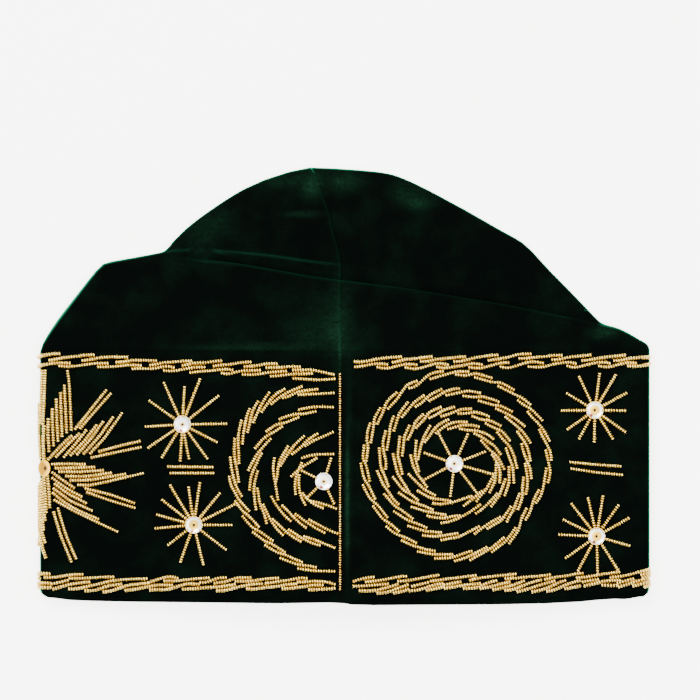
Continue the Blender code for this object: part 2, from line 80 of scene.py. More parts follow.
# %% [markdown]
# ## Soft lines
# A cloth edge has no sharp corners. The outline is read off as a few corners, then walked in small steps
# while each point is averaged with its neighbours. That rounds the corners and leaves the long runs where
# they were measured.

# %% Round the corners of a measured line
LINE_STEP = 1.5 * MM
SPREAD = ((-1.0, 1), (-0.66, 3), (-0.33, 5), (0.0, 6), (0.33, 5), (0.66, 3), (1.0, 1))


def lengths_along(points):
    steps = np.linalg.norm(np.diff(points, axis=0), axis=1)
    return np.concatenate([[0.0], np.cumsum(steps)])


def point_at(points, lengths, mark):
    return np.stack([np.interp(mark, lengths, points[:, axis]) for axis in (0, 1)], axis=-1)


def soft_line(corners, bend):
    corners = np.array(corners, float)
    lengths = lengths_along(corners)
    marks = np.linspace(0.0, lengths[-1], int(lengths[-1] / LINE_STEP) + 2)
    room = np.minimum(1.0, np.minimum(marks, lengths[-1] - marks) / bend)
    total = sum(w * point_at(corners, lengths, marks + shift * bend * room) for shift, w in SPREAD)
    return total / sum(w for _, w in SPREAD)


def smooth_step(low, high, value):
    share = min(1.0, max(0.0, (value - low) / (high - low)))
    return share * share * (3.0 - 2.0 * share)


# %% [markdown]
# ## The outline of the flattened hat
# The stiff wall has straight, upright folds at its left and right. Above it the soft crown leans inwards
# to its peak. The places where the front flap ends and the dome comes out from behind it matter most,
# because the eye reads the fold there.

# %% Outline of the crown, as seen in the photograph
CORNER_BEND = 3.0 * MM
LEFT_EDGE = soft_line(
    photo_line(
        (40.9, 351.8), (44.0, 341.0), (49.0, 332.0), (56.0, 321.0), (64.0, 310.5), (80.0, 290.0),
        (95.0, 271.0),
        (103.0, 262.6), (132.0, 257.6), (164.7, 251.5), (173.0, 241.0), (184.0, 230.0), (196.0, 220.0),
        (210.0, 210.0), (224.0, 200.5), (241.0, 190.0), (264.0, 179.5), (290.0, 171.1), (310.0, 167.2),
    ),
    CORNER_BEND,
)
RIGHT_EDGE = soft_line(
    photo_line(
        (647.1, 351.8), (646.9, 345.3), (640.0, 339.4), (629.0, 333.0), (619.5, 328.2), (601.6, 323.4),
        (589.0, 310.5), (570.0, 290.5), (550.0, 270.5), (541.0, 260.5), (532.0, 250.5), (521.6, 241.2),
        (502.0, 230.5), (467.0, 210.5), (430.0, 190.5), (409.0, 180.3), (394.0, 174.5), (382.0, 172.0),
        (360.0, 169.8), (330.0, 167.8), (310.0, 167.2),
    ),
    CORNER_BEND,
)
LEFT_LENGTHS = lengths_along(LEFT_EDGE)
RIGHT_LENGTHS = lengths_along(RIGHT_EDGE)
LEFT_FOLD_PIXEL = (164.7, 251.5)
RIGHT_FOLD_PIXEL = (601.6, 323.8)


def nearest_length(points, lengths, place):
    return lengths[int(np.argmin(np.linalg.norm(points - np.array(place), axis=1)))]


LEFT_TO_FOLD = nearest_length(LEFT_EDGE, LEFT_LENGTHS, from_photo(*LEFT_FOLD_PIXEL))
RIGHT_TO_FOLD = nearest_length(RIGHT_EDGE, RIGHT_LENGTHS, from_photo(*RIGHT_FOLD_PIXEL))
BELOW = np.array([0.0, -2.0 * WALL_HEIGHT])
OUTLINE = np.vstack([LEFT_EDGE[:1] + BELOW, LEFT_EDGE, RIGHT_EDGE[::-1], RIGHT_EDGE[:1] + BELOW])
print("Crown edge, left and right, in mm:", round(LEFT_LENGTHS[-1] * 1000), round(RIGHT_LENGTHS[-1] * 1000))

# %% [markdown]
# ## Two heights make a flattened bag
# A hat that lies flat is two layers of cloth joined round their outline. One function gives the height of
# the front layer and one the height of the back layer. Within 4 mm of the outline both run along a
# quarter circle to the height of the folded edge, and that gives the round folds. The front panel bows up
# a little in the middle, because the stiff wall keeps the rim open.

# %% Sizes of the folded cloth
BACK_LIFT = 2.3 * MM
FOLD_RADIUS = 3.5 * MM
EDGE_REACH = 4.0 * MM
RIM_BOW = 11.0 * MM
WALL_TOP_BOW = 6.5 * MM
CROWN_STACK = 5.8 * MM
BACK_DROP_LENGTH = 18.0 * MM

# %% How far a place is from the outline
EDGE_STARTS = OUTLINE[:-1]
EDGE_STEPS = np.diff(OUTLINE, axis=0)
EDGE_STEPS_SQUARED = np.maximum((EDGE_STEPS**2).sum(axis=1), 1e-12)


def edge_distance(x, y):
    away = np.array([x, y]) - EDGE_STARTS
    shares = np.clip((away * EDGE_STEPS).sum(axis=1) / EDGE_STEPS_SQUARED, 0.0, 1.0)
    gaps = away - EDGE_STEPS * shares[:, None]
    return math.sqrt(float((gaps**2).sum(axis=1).min()))


def edge_share(x, y):
    inwards = min(1.0, edge_distance(x, y) / EDGE_REACH)
    return math.sqrt(max(0.0, 1.0 - (1.0 - inwards) ** 2))


# %% Heights of the back, the folded edge and the front
def back_height(y):
    return BACK_LIFT * (1.0 - smooth_step(WALL_HEIGHT, WALL_HEIGHT + BACK_DROP_LENGTH, y))


def edge_height(y):
    share = smooth_step(WALL_HEIGHT, WALL_HEIGHT + BACK_DROP_LENGTH, y)
    return (BACK_LIFT + FOLD_RADIUS) * (1.0 - share) + CROWN_STACK / 2.0 * share


def rounded(x, y, height):
    middle = edge_height(y)
    return middle + (height - middle) * edge_share(x, y)


def panel_bow(x):
    return 0.5 * (1.0 + math.cos(math.pi * min(1.0, abs(x) / HALF_WIDTH)))


# %% [markdown]
# ## Small unevenness
# Hand-sewn velvet is never quite flat. A slow noise of a few tenths of a millimetre breaks up the sheen,
# and the middle seam pulls a groove beside a soft ridge, which catches the light in the photograph.

# %% The uneven front of the wall
SEAM_X = -1.9 * MM
GROOVE_DEPTH = 0.5 * MM
GROOVE_WIDTH = 1.0 * MM
RIDGE_RISE = 0.9 * MM
RIDGE_OFFSET = 4.6 * MM
RIDGE_WIDTH = 2.6 * MM
WAVE_LENGTH = 34.0 * MM
WAVE_RISE = 0.35 * MM


def bump_shape(distance, width):
    return math.exp(-((distance / width) ** 2))


def waves(x, y, size=WAVE_LENGTH):
    return noise.noise(Vector((x / size, y / size, 3.7)))


def wall_front_height(x, y):
    share = min(1.0, y / WALL_HEIGHT)
    rise = RIM_BOW + (WALL_TOP_BOW - RIM_BOW) * share
    height = BACK_LIFT + 2.0 * FOLD_RADIUS + rise * panel_bow(x) + WAVE_RISE * waves(x, y)
    height -= GROOVE_DEPTH * bump_shape(x - SEAM_X, GROOVE_WIDTH)
    return height + RIDGE_RISE * bump_shape(x - SEAM_X - RIDGE_OFFSET, RIDGE_WIDTH)


def cloth_height(face, x, y):
    return rounded(x, y, wall_front_height(x, y) if face == "front" else back_height(y))


print("Front of the wall in its middle, in mm:", round(cloth_height("front", 0.03, 0.06) * 1000, 2))

# %% [markdown]
# ## A helper for nodes and one for colours
# Materials and Geometry Nodes are both node trees, so one function adds a node, sets its properties and
# fills or links its inputs. Colours are written as sRGB hex values, as a paint chart gives them, and
# turned to the linear values that a shader needs.

# %% Add a node, turn a colour to linear
def add(tree, kind, inputs=None, **settings):
    node = tree.nodes.new(kind)
    for name, value in settings.items():
        setattr(node, name, value)
    for name, value in (inputs or {}).items():
        if isinstance(value, bpy.types.NodeSocket):
            tree.links.new(value, node.inputs[name])
        else:
            node.inputs[name].default_value = value
    return node


def colour(hex_value):
    parts = [int(hex_value[i : i + 2], 16) / 255.0 for i in (1, 3, 5)]
    linear = [p / 12.92 if p <= 0.04045 else ((p + 0.055) / 1.055) ** 2.4 for p in parts]
    return (*linear, 1.0)


def new_material(name):
    made = bpy.data.materials.new(name)
    made.use_nodes = True
    return made, made.node_tree, made.node_tree.nodes["Principled BSDF"]


# %% [markdown]
# ## Cotton velvet
# Velvet is woven with a short, upright pile. Looked at along the pile it swallows the light and is nearly
# black, and looked at across it, as on a fold, the fibre tips catch the light. The shader's sheen does
# that, tinted green. Beside it a green sheen is painted into the base colour: a Layer Weight paints the
# green tips where the cloth turns away from the camera, and elsewhere the base colour stays almost black.
# The mesh carries three attributes: painted sheen patches, lighter where the pile catches the light,
# thin painted highlight lines along the creases and the seam, and edge_light, which keeps the painted rim
# sheen brightest at the outline. Real tufts are about 0.3 mm apart, which is finer than a pixel, so
# the bump is drawn at 1.1 mm.

# %% Material: dark green cotton velvet
VELVET_DEEP = "#030504"
# Lighter green for the painted sheen patches and for a slow random mottle.
VELVET_MOTTLE_AND_SHEEN = "#10301f"
# Green of the painted sheen that is mixed into the base colour on the rims, creases and seam.
VELVET_PAINTED_SHEEN = "#17895e"
VELVET_SHEEN = "#128055"
TUFT_SIZE = 1.1 * MM
CLOUD_SIZE = 16.0 * MM
CLOUD_SHARE = 0.08
PILE_DEPTH = 0.25 * MM
SHEEN_SHARE = 0.05
SHEEN_ROUGHNESS = 0.25

velvet, tree, shader = new_material("dark_green_cotton_velvet")
place = add(tree, "ShaderNodeTexCoord").outputs["Object"]
clouds = add(tree, "ShaderNodeTexNoise", {"Vector": place, "Scale": 1.0 / CLOUD_SIZE, "Detail": 4.0})
tufts = add(tree, "ShaderNodeTexNoise", {"Vector": place, "Scale": 1.0 / TUFT_SIZE, "Detail": 2.0})
# Painted sheen patches plus a slow random mottle of the cloth lighten the base colour.
sheen_patches = add(tree, "ShaderNodeAttribute", attribute_name="brushed_pile")
# Thin painted highlight lines along the creases and the seam.
crease_sheen = add(tree, "ShaderNodeAttribute", attribute_name="opened_pile")
cloud_share = add(
    tree,
    "ShaderNodeMapRange",
    {
        "Value": clouds.outputs["Fac"],
        "From Min": 0.45,
        "From Max": 0.8,
        "To Min": 0.0,
        "To Max": CLOUD_SHARE,
    },
)
mottle_and_sheen = add(
    tree,
    "ShaderNodeMath",
    {0: sheen_patches.outputs["Fac"], 1: cloud_share.outputs["Result"]},
    operation="ADD",
    use_clamp=True,
)
tuft_share = add(
    tree,
    "ShaderNodeMapRange",
    {"Value": tufts.outputs["Fac"], "From Min": 0.3, "From Max": 0.7, "To Min": 0.6, "To Max": 1.4},
)
tufted_mottle_and_sheen = add(
    tree,
    "ShaderNodeMath",
    {0: mottle_and_sheen.outputs["Value"], 1: tuft_share.outputs["Result"]},
    operation="MULTIPLY",
    use_clamp=True,
)
base = add(
    tree,
    "ShaderNodeMix",
    {"Factor": tufted_mottle_and_sheen.outputs["Value"], 6: colour(VELVET_DEEP), 7: colour(VELVET_MOTTLE_AND_SHEEN)},
    data_type="RGBA",
)
# Painted sheen: where the cloth turns away from the camera, a Layer Weight mixes the green tip colour into
# the base colour.
turned_away = add(tree, "ShaderNodeLayerWeight", {"Blend": 0.5})
rim_sheen_share = add(
    tree,
    "ShaderNodeMapRange",
    {"Value": turned_away.outputs["Facing"], "From Min": 0.34, "From Max": 0.88},
    interpolation_type="SMOOTHSTEP",
)
edge_light = add(tree, "ShaderNodeAttribute", attribute_name="edge_light")
painted_sheen_share = add(
    tree,
    "ShaderNodeMath",
    {0: rim_sheen_share.outputs["Result"], 1: edge_light.outputs["Fac"], 2: crease_sheen.outputs["Fac"]},
    operation="MULTIPLY_ADD",
    use_clamp=True,
)
# The base colour with the painted sheen mixed in.
tips = add(
    tree,
    "ShaderNodeMix",
    {"Factor": painted_sheen_share.outputs["Value"], 6: base.outputs[2], 7: colour(VELVET_PAINTED_SHEEN)},
    data_type="RGBA",
)
pile = add(
    tree,
    "ShaderNodeBump",
    {"Height": tufts.outputs["Fac"], "Strength": 0.35, "Distance": PILE_DEPTH},
)
tree.links.new(tips.outputs[2], shader.inputs["Base Color"])
tree.links.new(pile.outputs["Normal"], shader.inputs["Normal"])
shader.inputs["Roughness"].default_value = 1.0
shader.inputs["Specular IOR Level"].default_value = 0.0
shader.inputs["Sheen Weight"].default_value = SHEEN_SHARE
shader.inputs["Sheen Roughness"].default_value = SHEEN_ROUGHNESS
shader.inputs["Sheen Tint"].default_value = colour(VELVET_SHEEN)

# %% [markdown]
# ## Cotton lining
# Inside, such hats are lined with a plain cotton sateen. It is only seen through the rim, so a matt, dark
# cloth with a fine weave is enough. The real threads are 0.2 mm, drawn at 0.8 mm.

# %% Material: dark cotton lining
THREAD_SPACING = 0.8 * MM
WAVES_A_UNIT = 20.0
LINING_DARK = "#07130e"
LINING_PALE = "#0d2119"
lining, tree, shader = new_material("dark_cotton_lining")
place = add(tree, "ShaderNodeTexCoord").outputs["Object"]
weft = add(
    tree,
    "ShaderNodeTexWave",
    {"Vector": place, "Scale": 1.0 / THREAD_SPACING / WAVES_A_UNIT, "Distortion": 0.6, "Detail": 1.0},
    bands_direction="Y",
)
tone = add(
    tree,
    "ShaderNodeMix",
    {"Factor": weft.outputs["Fac"], 6: colour(LINING_DARK), 7: colour(LINING_PALE)},
    data_type="RGBA",
)
weave = add(tree, "ShaderNodeBump", {"Height": weft.outputs["Fac"], "Strength": 0.3, "Distance": 0.1 * MM})
tree.links.new(tone.outputs[2], shader.inputs["Base Color"])
tree.links.new(weave.outputs["Normal"], shader.inputs["Normal"])
shader.inputs["Roughness"].default_value = 0.85

# %% [markdown]
# ## A wall of cloth from rows
# Both velvet pieces are made the same way. A row is one trip round the flattened hat: the front's points
# from the left fold to the right fold, and back along the back layer. The rows are joined into the
# outside, the inside is the outside pushed inwards by the cloth's thickness, and the open ends are closed
# with a rounded hem. The wall is thinner at the folds, where the cloth is pressed.

# %% Columns along a row
EDGE_MARKS = (0.0, 0.012, 0.045, 0.1, 0.18, 0.29, 0.43, 0.6, 0.8)
SEAM_MARKS = tuple(mark * MM for mark in (0.25, 0.5, 0.75, 1.05, 1.4, 1.9, 2.6, 3.6, 4.9, 6.6))


def side_shares(length, columns):
    """Shares along one side of the seam, close together at the seam and at the folded edge."""
    seam_share = min(SEAM_MARKS[-1], 0.3 * length) / length
    edge_run = min(EDGE_REACH, 0.4 * length) / length
    near = [seam_share * mark / SEAM_MARKS[-1] for mark in SEAM_MARKS]
    middle = [seam_share + (1.0 - edge_run - seam_share) * i / columns for i in range(1, columns + 1)]
    edge = [1.0 - mark * edge_run for mark in reversed(EDGE_MARKS)]
    return near + middle + edge


def row_shares(left_length, right_length, left_columns=52, right_columns=58):
    left = [-share for share in reversed(side_shares(left_length, left_columns))]
    return left + [0.0] + side_shares(right_length, right_columns)


# %% Join rows of the front and back into a closed wall of cloth
PRESSED_SHARE = 0.6
HEM_SHARE = 0.35


def cloth_wall(name, rows, thickness, sewn_shut):
    """rows: for each row the front's places and the back's. The last row is sewn shut where that is set."""
    sheet = bmesh.new()
    loops = []
    for index, (front, back) in enumerate(rows):
        top = [sheet.verts.new(spot) for spot in front]
        if sewn_shut and index == len(rows) - 1:
            under = list(top)
        else:
            under = [top[0]] + [sheet.verts.new(spot) for spot in back[1:-1]] + [top[-1]]
        loops.append(top[:-1] + under[:0:-1])
    for lower, upper in zip(loops, loops[1:]):
        for i in range(len(lower)):
            j = (i + 1) % len(lower)
            corners = list(dict.fromkeys((lower[i], lower[j], upper[j], upper[i])))
            if len(corners) > 2:
                sheet.faces.new(corners)
    sheet.normal_update()
    inner = {}
    ends = set(loops[0]) if sewn_shut else set(loops[0]) | set(loops[-1])
    for vert in list(sheet.verts):
        thin = PRESSED_SHARE + (1.0 - PRESSED_SHARE) * edge_share(vert.co.x, vert.co.y)
        spot = vert.co - vert.normal * thickness * thin
        if vert in ends:
            spot.y = vert.co.y
        inner[vert] = sheet.verts.new(spot)
    for face in list(sheet.faces):
        inside = sheet.faces.new([inner[vert] for vert in reversed(face.verts)])
        inside.material_index = 1
    close_hem(sheet, loops[0], inner, -thickness * HEM_SHARE, True)
    if not sewn_shut:
        close_hem(sheet, loops[-1], inner, thickness * HEM_SHARE, False)
    return finish_mesh(name, sheet, (velvet, lining))


def close_hem(sheet, loop, inner, bulge, forward):
    """Closes an open end of the cloth with a strip that swells outwards."""
    middle = []
    for vert in loop:
        spot = (vert.co + inner[vert].co) / 2.0
        middle.append(sheet.verts.new(spot + Vector((0.0, bulge, 0.0))))
    for i in range(len(loop)):
        j = (i + 1) % len(loop)
        outer = (loop[j], loop[i], middle[i], middle[j])
        inside = (middle[j], middle[i], inner[loop[i]], inner[loop[j]])
        for corners in (outer, inside):
            sheet.faces.new(corners if forward else corners[::-1])


def finish_mesh(name, shape, finishes):
    """Moves a finished shape to the row frame and makes its object, unturned at the origin."""
    bmesh.ops.translate(shape, verts=shape.verts, vec=(0.0, -HAT_HEIGHT / 2.0, 0.0))
    mesh = bpy.data.meshes.new(name)
    shape.to_mesh(mesh)
    shape.free()
    mesh.shade_smooth()
    for finish in finishes:
        mesh.materials.append(finish)
    made = bpy.data.objects.new(name, mesh)
    bpy.context.scene.collection.objects.link(made)
    return made


# %% [markdown]
# ## Painted sheen patches
# A few lighter, greener places of painted sheen sit round the peak of the crown, beside the middle seam
# and along the ridge right of it, where the cloth catches the light. They are soft spots with a size and a
# strength, not a picture.

# %% Paint the sheen patches on a mesh
SHEEN_SPOTS = (
    # column, row, half width and half height in pixels, strength
    (312, 186, 9, 12, 0.36),
    (304, 214, 17, 3, 0.22),
    (284, 181, 22, 6, 0.16),
    (420, 203, 14, 6, 0.30),
    (404, 192, 16, 12, 0.18),
    (345, 182, 16, 9, 0.25),
    (339, 320, 12, 40, 0.22),
    (312, 330, 30, 18, 0.16),
    (250, 347, 60, 3, 0.22),
    (352, 350, 14, 6, 0.08),
    (347.3, 500, 2.0, 50, 0.55),
    (349, 400, 2.5, 30, 0.10),
    (339.7, 350, 1.5, 15, 0.45),
    (603, 333, 12, 6, 0.25),
    (205, 226, 25, 22, 0.14),
)
GRAIN_LONG = 0.006
GRAIN_SHORT = 0.003
GRAIN_LOW = 0.6
GRAIN_SPAN = 0.9
FRONT_ABOVE = 4.0 * MM


# Painted sheen: soft lighter spots, broken up by a grain noise, painted on the front only.
def sheen_patch_share(vert, x, y):
    total = 0.0
    for column, row, width, tall, strength in SHEEN_SPOTS:
        spot_x, spot_y = from_photo(column, row)
        away = ((x - spot_x) / (width * PIXEL)) ** 2 + ((y - spot_y) / (tall * PIXEL)) ** 2
        total += strength * math.exp(-away)
    grain = GRAIN_LOW + GRAIN_SPAN * abs(noise.noise(Vector((x / GRAIN_LONG, y / GRAIN_SHORT, 1.0))))
    return min(1.0, total * grain) if vert.co.z > FRONT_ABOVE else 0.0


def paint(piece, name, share_at):
    """Gives each corner of a mesh a value, from its place above the rim."""
    painted = piece.data.attributes.new(name, "FLOAT", "POINT")
    shares = [share_at(vert, vert.co.x, vert.co.y + HAT_HEIGHT / 2.0) for vert in piece.data.vertices]
    painted.data.foreach_set("value", shares)


# %% [markdown]
# ## The stiff wall
# The wall is velvet over a stiffened ring, 121 mm high, that lies folded flat. Its rim sags a little at
# both ends, as measured. It replaces the CAD node side_band, whose form it keeps with many more faces.

# %% Make the wall
RIM_LINE = np.array(
    photo_line(
        (40.9, 590.5), (42.5, 593.5), (46.8, 596.0), (54.0, 596.6), (70.4, 598.7), (91.0, 599.6),
        (134.0, 600.4),
        (190.0, 600.7), (276.0, 601.5), (330.0, 600.6), (344.0, 601.4), (352.0, 602.6), (374.0, 603.2),
        (414.0, 603.0), (499.0, 602.8), (545.0, 602.0), (580.5, 600.3), (597.0, 598.6), (615.0, 597.5),
        (626.0, 598.0), (637.5, 595.6), (643.4, 595.3), (646.0, 592.0), (647.1, 586.6),
    )
)
WALL_THICKNESS = 2.0 * MM
WALL_ROWS = 34
HEM_GAP = 0.05 * MM


def wall_rows():
    left_length = HALF_WIDTH + SEAM_X
    right_length = HALF_WIDTH - SEAM_X
    shares = row_shares(left_length, right_length)
    rows = []
    for step in range(WALL_ROWS + 1):
        front, back = [], []
        for share in shares:
            x = SEAM_X + (left_length if share < 0.0 else right_length) * share
            rim = float(np.interp(x, RIM_LINE[:, 0], RIM_LINE[:, 1]))
            y = rim + (WALL_HEIGHT - HEM_GAP - rim) * (step / WALL_ROWS)
            front.append(Vector((x, y, cloth_height("front", x, y))))
            back.append(Vector((x, y, cloth_height("back", x, y))))
        back[0], back[-1] = front[0], front[-1]
        rows.append((front, back))
    return rows


velvet_wall = cloth_wall("velvet_wall", wall_rows(), WALL_THICKNESS, False)
paint(velvet_wall, "brushed_pile", sheen_patch_share)
print("Velvet wall:", len(velvet_wall.data.polygons), "faces")

# %% [markdown]
# ## The soft crown with its deep fold
# The crown rises from the wall as a flap, turns over at crease 2, runs back under itself, turns again in
# a hidden valley and rises as the dome behind. A small pleat left of the seam makes crease 1. Drawing
# that S as a path of turns (the way a turtle walks) keeps the cloth's length true, and lofting one such
# path for each column gives the whole fold. Towards the outline the turns run out, so the cloth lies flat
# there.

# %% Crease lines, the seam and the turns of the fold
CREASE_2 = soft_line(
    photo_line(
        (164.7, 252.5), (178.0, 258.0), (193.0, 260.0), (222.0, 261.5), (254.0, 266.0), (285.0, 271.5),
        (316.0, 277.0), (340.0, 280.0), (400.0, 287.3), (433.0, 293.0), (471.0, 299.0), (509.0, 305.5),
        (553.0, 314.5), (589.0, 321.7), (601.6, 324.0),
    ),
    8.0 * MM,
)
CREASE_1 = soft_line(
    photo_line(
        (163.4, 251.6), (171.7, 250.1), (181.9, 249.2), (201.0, 248.9), (221.4, 250.1), (248.2, 252.4),
        (277.6, 255.6), (303.1, 259.7), (322.2, 262.2), (338.8, 263.6), (471.0, 287.0), (591.0, 316.0),
    ),
    8.0 * MM,
)
CROWN_SEAM = soft_line(
    photo_line(
        (340.1, 351.8), (340.0, 290.0), (340.5, 264.0), (338.0, 250.0), (333.4, 234.0), (328.6, 211.2),
        (320.9, 192.1), (315.8, 176.5), (310.0, 168.0),
    ),
    5.0 * MM,
)
ROLL_RADIUS = 2.3 * MM
VALLEY_RADIUS = 0.65 * MM
FOLD_OVERLAP = 11.0 * MM
LEAST_TURN = 3.0 * MM
TURN_STEPS = 10
TURN_RUN = 8.0 * MM
TURN_FADE = 0.74
OVERLAP_FADE = 0.45


def line_y(line, x):
    return float(np.interp(x, line[:, 0], line[:, 1]))


def seam_x(y):
    return float(np.interp(y, CROWN_SEAM[:, 1], CROWN_SEAM[:, 0]))


def turn_path(share):
    """Steps (along Y, along Z) of the cloth through the roll, back under it and out of the valley."""
    angle = math.pi * (1.0 - smooth_step(TURN_FADE, 1.0, abs(share)))
    overlap = FOLD_OVERLAP * (1.0 - smooth_step(OVERLAP_FADE, TURN_FADE, abs(share)))
    roll = max(ROLL_RADIUS * angle, LEAST_TURN) / TURN_STEPS
    valley = max(VALLEY_RADIUS * angle, LEAST_TURN) / TURN_STEPS
    headings = [(angle * (i + 0.5) / TURN_STEPS, roll) for i in range(TURN_STEPS)]
    headings += [(angle, overlap / 2.0)] * 2
    headings += [(angle * (1.0 - (i + 0.5) / TURN_STEPS), valley) for i in range(TURN_STEPS)]
    reach = ROLL_RADIUS * math.sin(min(angle, math.pi / 2.0))
    y, z = -reach, 0.0
    path = [(y, z)]
    for heading, step in headings:
        y += math.cos(heading) * step
        z -= math.sin(heading) * step
        path.append((y, z))
    return path


print("Steps of the fold in its middle:", len(turn_path(0.0)))

# %% [markdown]
# Each row of the crown starts and ends on the outline. Between them its points lie on a blend of two
# guide lines, and a power of the share along the row, higher for a shorter pull, draws only its last part
# to the outline.

# %% Guide lines of the crown
LINE_PULL = 6
BLEND_PULL = 3
TURN_PULL = 12


def edge_point(side, length):
    if side < 0.0:
        return point_at(LEFT_EDGE, LEFT_LENGTHS, length)
    return point_at(RIGHT_EDGE, RIGHT_LENGTHS, length)


def across(line, ends, share):
    """A place on a line across the crown, -1 to 1 along it, pulled to the row's own ends."""
    start_y = line_y(line, SEAM_X)
    start_x = seam_x(start_y)
    end = ends[0] if share < 0.0 else ends[1]
    x = start_x + (end[0] - start_x) * abs(share)
    lift = end[1] - line_y(line, end[0])
    return np.array([x, line_y(line, x) + lift * abs(share) ** LINE_PULL])


def wall_top(share):
    end = -HALF_WIDTH if share < 0.0 else HALF_WIDTH
    return np.array([SEAM_X + (end - SEAM_X) * abs(share), WALL_HEIGHT + HEM_GAP])


FOLD_ENDS = (edge_point(-1.0, LEFT_TO_FOLD), edge_point(1.0, RIGHT_TO_FOLD))
PEAK_LEFT_RUN = 10.0 * MM
PEAK_RIGHT_RUN = 38.0 * MM
LEFT_TO_PEAK = LEFT_LENGTHS[-1] - PEAK_LEFT_RUN
RIGHT_TO_PEAK = RIGHT_LENGTHS[-1] - PEAK_RIGHT_RUN
PEAK_LEFT = edge_point(-1.0, LEFT_TO_PEAK)


def fold_start(share):
    return across(CREASE_2, FOLD_ENDS, share) + np.array([0.0, turn_path(share)[0][0]])


def peak_line(share):
    if share < 0.0:
        return edge_point(-1.0, LEFT_LENGTHS[-1] + share * PEAK_LEFT_RUN)
    return edge_point(1.0, RIGHT_LENGTHS[-1] - share * PEAK_RIGHT_RUN)


def blend_lines(low, high, up, ends, share):
    spot = low(share) * (1.0 - up) + high(share) * up
    side = -1.0 if share < 0.0 else 1.0
    plain = low(side) * (1.0 - up) + high(side) * up
    return spot + (ends[0 if share < 0.0 else 1] - plain) * abs(share) ** BLEND_PULL


# %% Seam ridge, dents and pleat of the crown
PLEAT_RISE = 1.5 * MM
PLEAT_END = 0.014
DOME_PUFF = 2.2 * MM
SEAM_RISE = 0.9 * MM
SEAM_WIDTH = 0.5 * MM
SEAM_DIP = 0.5 * MM
SEAM_DIP_OFFSET = 2.6 * MM
SEAM_DIP_WIDTH = 1.4 * MM
RIPPLE_RISE = 0.12 * MM
RIPPLE_LENGTH = 9.0 * MM
PLEAT_BANK = (-7.0 * MM, -0.6 * MM)
PLEAT_DROP = (-0.1 * MM, 0.55 * MM)


def crown_detail(x, y, height):
    """Adds the standing seam, the dip beside it and slow dents to a height of the front."""
    away = x - seam_x(y)
    dip = SEAM_DIP * bump_shape(away - SEAM_DIP_OFFSET, SEAM_DIP_WIDTH)
    height += SEAM_RISE * bump_shape(away, SEAM_WIDTH) - dip
    return height + WAVE_RISE * waves(x, y) + RIPPLE_RISE * waves(x, y, RIPPLE_LENGTH)


def pleat_rise(x, y, share):
    if share >= 0.0:
        return 0.0
    away = y - line_y(CREASE_1, x)
    bank = smooth_step(*PLEAT_BANK, away) * (1.0 - smooth_step(*PLEAT_DROP, away))
    return PLEAT_RISE * bank * (1.0 - abs(share) ** LINE_PULL) * smooth_step(0.0, PLEAT_END, -share)


# %% One row of the crown
BACK_ROW_DIP = 6.0 * MM


def crown_row(lengths, front_place, front_height, dip, bulge=0.0):
    ends = (edge_point(-1.0, lengths[0]), edge_point(1.0, lengths[1]))
    middle = front_place(0.0, ends)
    spans = [float(np.linalg.norm(end - middle)) for end in ends]
    front, back = [], []
    for share in row_shares(*spans):
        spot = front_place(share, ends)
        if abs(share) == 1.0:
            spot = ends[0] if share < 0.0 else ends[1]
        x, y = float(spot[0]), float(spot[1])
        height = crown_detail(x, y, front_height(x, y, share))
        front.append(Vector((x, y, rounded(x, y, height))))
        along = (x - ends[0][0]) / (ends[1][0] - ends[0][0])
        under_x, under_y = ends[0] + (ends[1] - ends[0]) * along
        under_y += bulge * (peak_line(share)[1] - PEAK_LEFT[1])
        under_y -= dip * BACK_ROW_DIP * 4.0 * along * (1.0 - along)
        back.append(Vector((under_x, under_y, rounded(under_x, under_y, back_height(under_y)))))
    back[0], back[-1] = front[0], front[-1]
    return front, back


# %% Rows of the flap, from the wall to the fold
FLAP_ROWS = 22
FLAP_EASE = -0.35


def flap_rows():
    rows = []
    first = smooth_step(FLAP_EASE, 1.0, 0.0)
    for step in range(FLAP_ROWS):
        up = smooth_step(FLAP_EASE, 1.0, step / FLAP_ROWS)
        up = (up - first) / (1.0 - first)

        def place_of(share, ends):
            return blend_lines(wall_top, fold_start, up, ends, share)

        def height_of(x, y, share):
            low = wall_front_height(float(wall_top(share)[0]), WALL_HEIGHT)
            return low + (CROWN_STACK - turn_path(share)[-1][1] - low) * up

        rows.append(crown_row((LEFT_TO_FOLD * up, RIGHT_TO_FOLD * up), place_of, height_of, dip=up))
    return rows


# %% Rows of the fold's two turns
def turn_rows():
    rows = []
    steps = len(turn_path(0.0))
    for step in range(steps):
        run = TURN_RUN * step / steps

        def place_of(share, ends):
            path = turn_path(share)
            side = -1.0 if share < 0.0 else 1.0
            shift = np.array([0.0, path[step][0] - path[0][0]])
            end_path = turn_path(side)
            plain = fold_start(side) + np.array([0.0, end_path[step][0] - end_path[0][0]])
            pull = ends[0 if share < 0.0 else 1] - plain
            return fold_start(share) + shift + pull * abs(share) ** TURN_PULL

        def height_of(x, y, share):
            path = turn_path(share)
            return CROWN_STACK + path[step][1] - path[-1][1]

        rows.append(crown_row((LEFT_TO_FOLD + run, RIGHT_TO_FOLD + run), place_of, height_of, dip=1.0))
    return rows


# %% Rows of the dome, from the pleat to the peak
PLEAT_MARKS = tuple(mark * MM for mark in (-4.0, -1.6, -0.7, -0.2, 0.0, 0.15, 0.3, 0.45, 0.7, 1.3))
PLEAT_RUN = 0.25
DOME_ROWS = 40
DOME_EASE = 1.35


